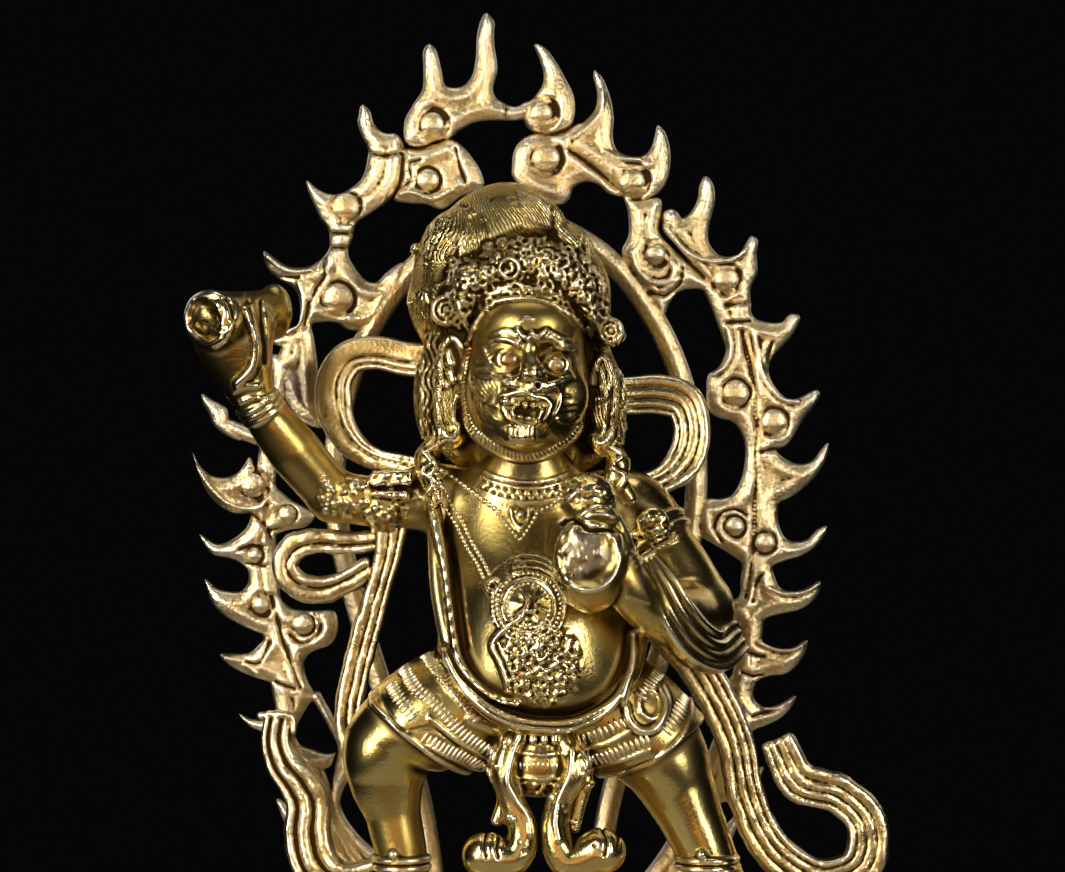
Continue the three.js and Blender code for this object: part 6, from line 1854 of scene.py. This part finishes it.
@dataclass
class Scarf:
    """The fluted scarf that loops behind the shoulders and falls beside the legs."""

    pitch: float = 0.28
    depth: float = 1.5
    # Each band's flutes, how they crowd together and how deep they are, and its route as x, y, z and half width
    bands: tuple[tuple[int, float, float, tuple[Point, ...]], ...] = (
        (3, 2.1, 0.32, (
            (-15, 4, 134.4, 3.6), (-28, 6.4, 135.4, 3.5), (-34, 7, 136.6, 3.4), (-39.6, 7.2, 135.6, 3.5),
            (-42.5, 6.8, 131.4, 3.7), (-42.7, 6.2, 127, 3.8), (-41.4, 5.6, 121.8, 3.3), (-38, 4.6, 117.4, 2.7),
            (-33.6, 3.6, 115, 2.2), (-26, 2, 113.4, 2.3))),
        (4, 0.75, 0.4, (
            (6, 5, 128, 3.8), (17, 7, 128, 3.9), (23, 7.2, 128.2, 4.1), (28, 6.8, 126.6, 4.1), (29.6, 6.2, 122.4, 3.8),
            (29.5, 5.6, 118.4, 3.8), (28, 5, 114.7, 3.8), (25.4, 4, 112, 3.1), (22, 3.2, 110.3, 2.6),
            (13, 1, 108.4, 2.4))),
        (3, 1.4, 0.4, (
            (-30.6, -1, 108, 4.2), (-31.1, -0.8, 98, 2.9), (-33, -0.4, 90.4, 2.6), (-35.4, 0.4, 82, 2.9),
            (-38, 1, 72, 2.9), (-39.4, 0.6, 62, 2.8), (-36, -2, 52, 3))),
        (2, 1.3, 0.5, (
            (-33, 0, 99, 2.2), (-40, 0.4, 98.4, 2.3), (-45, 0.5, 98.8, 2.5), (-50, 0.5, 97.6, 2.9),
            (-52.2, 0.5, 94, 2.7), (-50, 0.5, 90.2, 2.7), (-45.4, 0.5, 88.9, 2.8), (-41, 0.4, 90, 2.5),
            (-35, 0, 93.4, 2.4))),
        (4, 1.25, 0.42, (
            (19, -2, 86, 4), (25, 1, 80, 4), (31.1, 2, 72.8, 4), (38.1, 2.4, 58.8, 3.8), (40.6, 2.4, 46.8, 3.8),
            (46, 2, 36.4, 4), (55.6, 1.4, 30.8, 4.2), (63.6, 1.4, 33.8, 4.3), (64.6, 1.4, 42, 4.2), (59, 1.4, 48, 3.9),
            (51, 1.4, 50.6, 4.2), (46.8, 1.4, 58.4, 3.4))),
        (3, 0.8, 1.15, (
            (-53.4, 3, 63.6, 3), (-54, 2.8, 58.5, 3.1), (-52.6, 2.6, 54, 3.5), (-49.6, 2.2, 50.2, 4),
            (-47.4, 2, 46, 4.6), (-47.6, 1.6, 40, 4.8), (-46, 1, 34, 4.8), (-41, 0, 30.4, 4.4), (-33, -3, 32.6, 3.6),
            (-28, -4, 36, 3))),
    )

    def build(self) -> bpy.types.Object:
        """Builds the scarf.

        Returns:
            The scarf as a mesh object.
        """
        clay = Clay((-59, -8, 24), (71, 13, 142), self.pitch)
        for flutes, crowding, flute, route in self.bands:
            rows = np.array(route, float)
            sizes = np.column_stack([rows[:, 3], np.full(len(rows), self.depth)])
            clay.add(Sweep(rows[:, :3], sizes, Section.FLUTED, flutes=flutes, flute_depth=flute, crowding=crowding), 0.3)
        clay.add(Sweep([(-57, 2.6, 63.6), (-54, 2.4, 64), (-51, 2.2, 63.4), (-50.6, 2, 60.6)], [0.8, 0.9, 0.9, 0.6]), 0.3)
        skin = Relief(clay, (-59, 25), (71, 141))
        skin.wash((-59, 25), (71, 141), 3.0, 0.15, 51)
        skin.wash((-59, 25), (71, 141), 0.6, 0.06, 52)
        skin.press(-9, 5)
        clay.level(Plinth.height)
        return clay.mesh("figure_scarf", 120_000)


def group_tree(name: str, sockets: dict[str, tuple[str, float | None]], outputs: Sequence[tuple[str, str]]
               ) -> tuple[bpy.types.ShaderNodeTree, bpy.types.Node, bpy.types.Node]:
    """Makes an empty shader node group.

    Args:
        name: the group's name.
        sockets: its inputs: the kind of socket and the default, by name.
        outputs: its outputs: name and kind.

    Returns:
        The group, its input node and its output node.
    """
    tree = bpy.data.node_groups.new(name, "ShaderNodeTree")
    for label, (kind, default) in sockets.items():
        made = tree.interface.new_socket(name=label, in_out="INPUT", socket_type=kind)
        if default is not None:
            made.default_value = default
    for label, kind in outputs:
        tree.interface.new_socket(name=label, in_out="OUTPUT", socket_type=kind)
    return tree, tree.nodes.new("NodeGroupInput"), tree.nodes.new("NodeGroupOutput")


class Nodes:
    """Adds shader nodes to a tree in few words."""

    def __init__(self, tree: bpy.types.ShaderNodeTree) -> None:
        """Works on a tree."""
        self.tree = tree

    def link(self, source: bpy.types.NodeSocket, target: bpy.types.NodeSocket) -> None:
        """Links an output to an input."""
        self.tree.links.new(source, target)

    def feed(self, target: bpy.types.NodeSocket, value: object) -> None:
        """Links a socket to an input, or sets the input to a value."""
        if isinstance(value, bpy.types.NodeSocket):
            self.link(value, target)
        else:
            target.default_value = value

    def math(self, kind: str, one: object, two: object = 0.0, clamp: bool = False) -> bpy.types.NodeSocket:
        """Adds a Math node."""
        node = self.tree.nodes.new("ShaderNodeMath")
        node.operation, node.use_clamp = kind, clamp
        self.feed(node.inputs[0], one)
        self.feed(node.inputs[1], two)
        return node.outputs[0]

    def fit(self, value: object, low: float, high: float, to_low: float = 0.0,
            to_high: float = 1.0) -> bpy.types.NodeSocket:
        """Maps a range smoothly onto another."""
        node = self.tree.nodes.new("ShaderNodeMapRange")
        node.interpolation_type = "SMOOTHSTEP"
        for index, number in enumerate((value, low, high, to_low, to_high)):
            self.feed(node.inputs[index], number)
        return node.outputs[0]

    def mix(self, share: object, one: object, two: object, blend: str = "MIX") -> bpy.types.NodeSocket:
        """Mixes two colours."""
        node = self.tree.nodes.new("ShaderNodeMix")
        node.data_type, node.blend_type = "RGBA", blend
        self.feed(node.inputs[0], share)
        self.feed(node.inputs[6], one)
        self.feed(node.inputs[7], two)
        return node.outputs[2]

    def noise(self, place: object, scale: float, detail: float = 3.0, rough: float = 0.55) -> bpy.types.NodeSocket:
        """Adds a noise texture at a place."""
        node = self.tree.nodes.new("ShaderNodeTexNoise")
        self.feed(node.inputs["Vector"], place)
        node.inputs["Scale"].default_value = scale
        node.inputs["Detail"].default_value = detail
        node.inputs["Roughness"].default_value = rough
        return node.outputs["Fac"]

    def place(self) -> bpy.types.NodeSocket:
        """Adds object coordinates."""
        return self.tree.nodes.new("ShaderNodeTexCoord").outputs["Object"]

    def attribute(self, name: str) -> bpy.types.NodeSocket:
        """Reads a point attribute's value."""
        node = self.tree.nodes.new("ShaderNodeAttribute")
        node.attribute_name = name
        return node.outputs["Fac"]


@dataclass(frozen=True)
class ColourPatch:
    """A patch of another colour on a casting; some are real stains and bare metal, others are painted reflections and
    painted shadow.
    """

    place: Point
    radius: float
    colour: tuple[float, float, float]
    strength: float = 0.8


@dataclass(frozen=True)
class GiltBrass:
    """A worn gilt finish: its colours, its gloss, how much dirt and painted shade its hollows and sheltered places get,
    its grain and its patches of colour, some of them painted reflection and painted shadow. Its rubbed colour on ridges
    is partly wear and partly painted highlight.
    """

    name: str
    gold: tuple[float, float, float]
    warm: tuple[float, float, float]
    grime_and_shade: tuple[float, float, float]
    rubbed_and_highlit: tuple[float, float, float]
    gloss: float = 0.3
    grime_and_shade_amount: float = 1.0
    grain: float = 0.25
    colour_patches: tuple[ColourPatch, ...] = ()

    def make(self, ageing_and_light: bpy.types.ShaderNodeTree, skin: bpy.types.ShaderNodeTree) -> bpy.types.Material:
        """Makes the material.

        Args:
            ageing_and_light: the shared group that gives the masks of dirt with painted shade in hollows, and of
                rubbing with painted highlight on ridges.
            skin: the shared group that gives the fine grain of the surface.

        Returns:
            The material.
        """
        material = bpy.data.materials.new(self.name)
        material.use_nodes = True
        tree = material.node_tree
        nodes = Nodes(tree)
        shader = tree.nodes["Principled BSDF"]
        surface, masks = tree.nodes.new("ShaderNodeGroup"), tree.nodes.new("ShaderNodeGroup")
        surface.node_tree, masks.node_tree = skin, ageing_and_light
        surface.inputs["Strength"].default_value = self.grain
        nodes.feed(surface.inputs["Across"], nodes.attribute("across"))
        nodes.feed(surface.inputs["Combed"], nodes.attribute("combed"))
        crevice = nodes.math("ADD", nodes.attribute("crevice"), nodes.math("MULTIPLY", surface.outputs["Furrow"], 0.07))
        nodes.feed(masks.inputs["Crevice"], crevice)
        nodes.feed(masks.inputs["Shelter"], nodes.attribute("shelter"))
        masks.inputs["Grime and shade amount"].default_value = self.grime_and_shade_amount
        base = nodes.mix(masks.outputs["Clouds"], (*self.gold, 1), (*self.warm, 1))
        # Partly rubbed wear, partly painted highlight: ridges lightened towards a pale cream.
        base = nodes.mix(masks.outputs["Rubbed and highlit"], base, (*self.rubbed_and_highlit, 1))
        for colour_patch in self.colour_patches:
            base = nodes.mix(self._patch(nodes, colour_patch), base, (*colour_patch.colour, 1))
        # Dirt in fine hollows and painted shade in sheltered places darken the colour.
        base = nodes.mix(masks.outputs["Grime and shade"], base, (*self.grime_and_shade, 1))
        nodes.link(base, shader.inputs["Base Color"])
        shader.inputs["Metallic"].default_value = 1.0
        rough = nodes.math("ADD", nodes.math("MULTIPLY", masks.outputs["Grime and shade"], 0.35), self.gloss)
        rough = nodes.math("ADD", rough, nodes.math("MULTIPLY", masks.outputs["Clouds"], 0.12), clamp=True)
        nodes.link(rough, shader.inputs["Roughness"])
        nodes.link(surface.outputs["Normal"], shader.inputs["Normal"])
        return material

    def _patch(self, nodes: "Nodes", colour_patch: ColourPatch) -> bpy.types.NodeSocket:
        """Adds the nodes that mask one patch of colour, with a ragged edge."""
        away = nodes.tree.nodes.new("ShaderNodeVectorMath")
        away.operation = "DISTANCE"
        nodes.feed(away.inputs[0], nodes.place())
        away.inputs[1].default_value = [v * MM for v in colour_patch.place]
        ragged = nodes.math("MULTIPLY", nodes.noise(nodes.place(), 420, 4, 0.65), colour_patch.radius * MM)
        total = nodes.math("ADD", away.outputs["Value"], ragged)
        return nodes.fit(total, colour_patch.radius * 1.45 * MM, colour_patch.radius * 0.95 * MM, 0.0, colour_patch.strength)


def ageing_and_light_group() -> bpy.types.ShaderNodeTree:
    """Builds the shared masks: dirt in the fine hollows with painted shade in the broader sheltered places, rubbed wear
    with painted highlight on ridges, and cloudy toning.
    """
    tree, start, end = group_tree("brass_ageing_and_light", {"Crevice": ("NodeSocketFloat", 0.5),
                                                 "Shelter": ("NodeSocketFloat", 0.5),
                                                 "Grime and shade amount": ("NodeSocketFloat", 1.0)},
                                  [("Grime and shade", "NodeSocketFloat"), ("Rubbed and highlit", "NodeSocketFloat"),
                                   ("Clouds", "NodeSocketFloat")])
    nodes = Nodes(tree)
    place = nodes.place()
    patchy = nodes.noise(place, 160, 4)
    deep = nodes.math("ADD", start.outputs["Crevice"], nodes.math("MULTIPLY_ADD", patchy, 0.24))
    deep.node.inputs[1].links[0].from_node.inputs[2].default_value = -0.12
    hollow = nodes.fit(deep, 0.525, 0.74)
    # Painted shade: the coarse hollowness stands in for ambient occlusion and darkens broad sheltered places.
    painted_occlusion_shade = nodes.fit(start.outputs["Shelter"], 0.5, 0.72)
    grime_and_shade = nodes.math("MAXIMUM", hollow, nodes.math("MULTIPLY", painted_occlusion_shade, 0.8))
    nodes.link(nodes.math("MULTIPLY", grime_and_shade, start.outputs["Grime and shade amount"], clamp=True), end.inputs["Grime and shade"])
    # Partly rubbed wear, partly painted highlight: convex ridges are marked to be lightened in colour.
    highlit_ridge = nodes.fit(start.outputs["Crevice"], 0.48, 0.33)
    nodes.link(highlit_ridge, end.inputs["Rubbed and highlit"])
    clouds = nodes.fit(nodes.noise(place, 34, 3), 0.38, 0.66)
    nodes.link(clouds, end.inputs["Clouds"])
    return tree


def skin_group() -> bpy.types.ShaderNodeTree:
    """Builds the shared fine grain of a cast and chased surface, and its combed strands."""
    tree, start, end = group_tree("brass_skin", {"Strength": ("NodeSocketFloat", 0.25),
                                                 "Across": ("NodeSocketFloat", 0.0),
                                                 "Combed": ("NodeSocketFloat", 0.0)},
                                  [("Normal", "NodeSocketVector"), ("Furrow", "NodeSocketFloat")])
    nodes = Nodes(tree)
    place = nodes.place()
    fine = nodes.noise(place, 1300, 3, 0.7)
    broad = nodes.math("MULTIPLY", nodes.noise(place, 300, 2, 0.5), 0.25)
    grain = nodes.math("MULTIPLY", nodes.math("ADD", fine, broad), start.outputs["Strength"])
    jitter = nodes.math("MULTIPLY", nodes.noise(place, 420, 2, 0.5), 1.5)
    phase = nodes.math("MULTIPLY", nodes.math("ADD", start.outputs["Across"], jitter), 2 * math.pi)
    wave = nodes.math("MULTIPLY", nodes.math("SINE", phase), nodes.fit(nodes.noise(place, 800, 2), 0.3, 0.55))
    wave = nodes.math("MULTIPLY", wave, start.outputs["Combed"])
    total = nodes.math("ADD", grain, nodes.math("MULTIPLY", wave, 0.3))
    bump = tree.nodes.new("ShaderNodeBump")
    bump.inputs["Distance"].default_value = 0.0004
    nodes.feed(bump.inputs["Height"], total)
    nodes.link(bump.outputs["Normal"], end.inputs["Normal"])
    nodes.link(wave, end.inputs["Furrow"])
    return tree


# Painted reflection: the orange of warm light reflected by the metal, painted into its colour.
PAINTED_ORANGE_REFLECTION = (0.80, 0.30, 0.07)
BARE_GREY = (0.17, 0.15, 0.16)
FIGURE_GILT = GiltBrass("worn gilt brass", (0.70, 0.55, 0.205), (0.50, 0.35, 0.095), (0.044, 0.022, 0.004),
                        (0.97, 0.88, 0.64), 0.21, 1.35, 0.12, (
                            ColourPatch((-7.2, -21.5, 134.6), 2.6, (0.62, 0.26, 0.12), 0.5),
                            # Painted orange reflections on the temple, the belly and its underside, the bell's
                            # underside and along the raised forearm.
                            ColourPatch((-14.8, -15, 136.6), 2.6, PAINTED_ORANGE_REFLECTION, 0.6),
                            ColourPatch((-15.4, -17, 82), 3.4, PAINTED_ORANGE_REFLECTION, 0.6), ColourPatch((-12, -20, 67.4), 4, PAINTED_ORANGE_REFLECTION, 0.45),
                            ColourPatch((10.4, -33, 87.4), 3.2, PAINTED_ORANGE_REFLECTION, 0.5), ColourPatch((-54, -14, 136), 2.6, PAINTED_ORANGE_REFLECTION, 0.5),
                            ColourPatch((-51.4, -12, 125), 2.6, PAINTED_ORANGE_REFLECTION, 0.5), ColourPatch((-46.4, -9, 116.4), 3, PAINTED_ORANGE_REFLECTION, 0.5),
                            ColourPatch((7.4, -34, 97.4), 7, (0.36, 0.32, 0.25), 0.75),
                            # Painted shadow: the neck darkened brown where the chin's shade falls on it.
                            ColourPatch((-4, -11, 115.4), 6, (0.09, 0.06, 0.035), 0.85),
                            ColourPatch((16, -25, 92), 3, (0.16, 0.12, 0.13), 0.7)))
AUREOLE_GILT = GiltBrass("pale gilt brass", (0.85, 0.66, 0.33), (0.72, 0.49, 0.20), (0.070, 0.035, 0.010),
                         (0.99, 0.90, 0.69), 0.33, 1.4, 0.45, (
                             ColourPatch((-50, 15, 130), 6.4, BARE_GREY, 0.7),
                             ColourPatch((40, 15, 63.5), 2.4, BARE_GREY, 0.8)))
SCARF_GILT = GiltBrass("scarf gilt brass", (0.69, 0.53, 0.23), (0.53, 0.355, 0.125), (0.050, 0.024, 0.005),
                       (0.97, 0.87, 0.63), 0.27, 1.5, 0.3)
PLINTH_GILT = GiltBrass("plinth gilt brass", (0.78, 0.57, 0.22), (0.64, 0.42, 0.12), (0.05, 0.026, 0.007),
                        (0.97, 0.84, 0.58), 0.28, 1.2, 0.15)


@dataclass
class Studio:
    """The pale floor, the soft lights and the camera."""

    floor_radius: float = 0.12
    camera_y: float = -0.62
    camera_height: float = 0.1198
    lens: float = 104.79

    def build(self) -> bpy.types.Object:
        """Sets up the studio.

        Returns:
            The floor.
        """
        bpy.context.scene.view_settings.view_transform = "Standard"
        world = bpy.data.worlds.new("dark studio")
        bpy.context.scene.world = world
        world.use_nodes = True
        world.node_tree.nodes["Background"].inputs[0].default_value = (0.0020, 0.0018, 0.0018, 1)
        for name, place, size, power, colour in self.lights():
            self._light(name, place, size, power, colour)
        camera = bpy.data.cameras.new("camera")
        camera.lens = self.lens
        camera.clip_start = 0.01
        holder = bpy.data.objects.new("camera", camera)
        bpy.context.scene.collection.objects.link(holder)
        holder.location = (-0.0025, self.camera_y, self.camera_height)
        holder.rotation_euler = (math.pi / 2, 0, 0)
        bpy.context.scene.camera = holder
        return self._floor()

    def lights(self) -> tuple[tuple[str, Point, Point, float, Point], ...]:
        """Lists the lights: name, place, size, power and colour."""
        white, amber = (1.0, 0.955, 0.87), (1.0, 0.50, 0.16)
        return (
            ("left softbox", (-0.43, -0.64, 0.31), (0.17, 0.40), 3.3, white),
            ("right softbox", (0.46, -0.62, 0.25), (0.14, 0.44), 2.4, white),
            ("left low", (-0.50, -0.50, 0.06), (0.12, 0.2), 0.9, white),
            ("front fill", (0.03, -0.95, 0.20), (0.36, 0.34), 0.22, white),
            ("top bank", (0.0, -0.05, 0.70), (0.4, 0.2), 0.55, white),
            ("low bounce", (-0.10, -0.42, 0.01), (0.5, 0.1), 0.14, amber),
            ("back left", (-0.5, 0.5, 0.4), (0.2, 0.4), 0.3, white),
            ("back right", (0.5, 0.5, 0.4), (0.2, 0.4), 0.3, white),
        )

    def _light(self, name: str, place: Point, size: Point, power: float, colour: Point) -> None:
        """Hangs one soft area light that looks at the middle of the figure."""
        light = bpy.data.lights.new(name, "AREA")
        light.shape = "RECTANGLE"
        light.size, light.size_y = size
        light.energy = power
        light.color = colour
        lamp = bpy.data.objects.new(name, light)
        bpy.context.scene.collection.objects.link(lamp)
        lamp.location = place
        lamp.rotation_euler = (Vector((0, 0, 0.12)) - Vector(place)).to_track_quat("-Z", "Y").to_euler()

    def _floor(self) -> bpy.types.Object:
        """Lays the round floor."""
        angle = np.linspace(0, 2 * math.pi, 96, endpoint=False)
        points = np.stack([np.cos(angle), np.sin(angle), np.zeros(96)], 1) * self.floor_radius
        floor = new_object("floor", points - np.array([0, 0, 0.0002]), np.arange(96)[None, :])
        material = bpy.data.materials.new("pale floor")
        material.use_nodes = True
        shader = material.node_tree.nodes["Principled BSDF"]
        shader.inputs["Base Color"].default_value = (0.52, 0.50, 0.46, 1)
        shader.inputs["Roughness"].default_value = 0.8
        floor.data.materials.append(material)
        return floor


def seat(piece: bpy.types.Object, node: str) -> None:
    """Parents a piece to the body's empty and logs its face count."""
    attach(piece, BODY)
    log.info("%s: %d faces", piece.name, len(piece.data.polygons))


def main() -> None:
    """Builds every piece of the statue and its studio."""
    logging.basicConfig(level=logging.INFO, format="%(asctime)s %(message)s")
    ageing_and_light, skin, strand = ageing_and_light_group(), skin_group(), Strand()
    gilt, pale, silk, base = (
        finish.make(ageing_and_light, skin) for finish in (FIGURE_GILT, AUREOLE_GILT, SCARF_GILT, PLINTH_GILT))
    for part, material, node, stands_for in (
            (Head(), gilt, "figure", False), (Torso(), gilt, "figure", True), (Legs(), gilt, "figure", False),
            (Scarf(), silk, "figure", False), (Aureole(), pale, "aureole", True),
            (Plinth(), base, "lotus_plinth", True)):
        piece = part.build()
        piece.data.materials.append(material)
        seat(piece, node)
        if stands_for:
            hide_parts(node)
        if hasattr(part, "strung"):
            for row in part.strung(strand, material):
                seat(row, node)
    Studio().build()


if __name__ == "__main__":
    main()
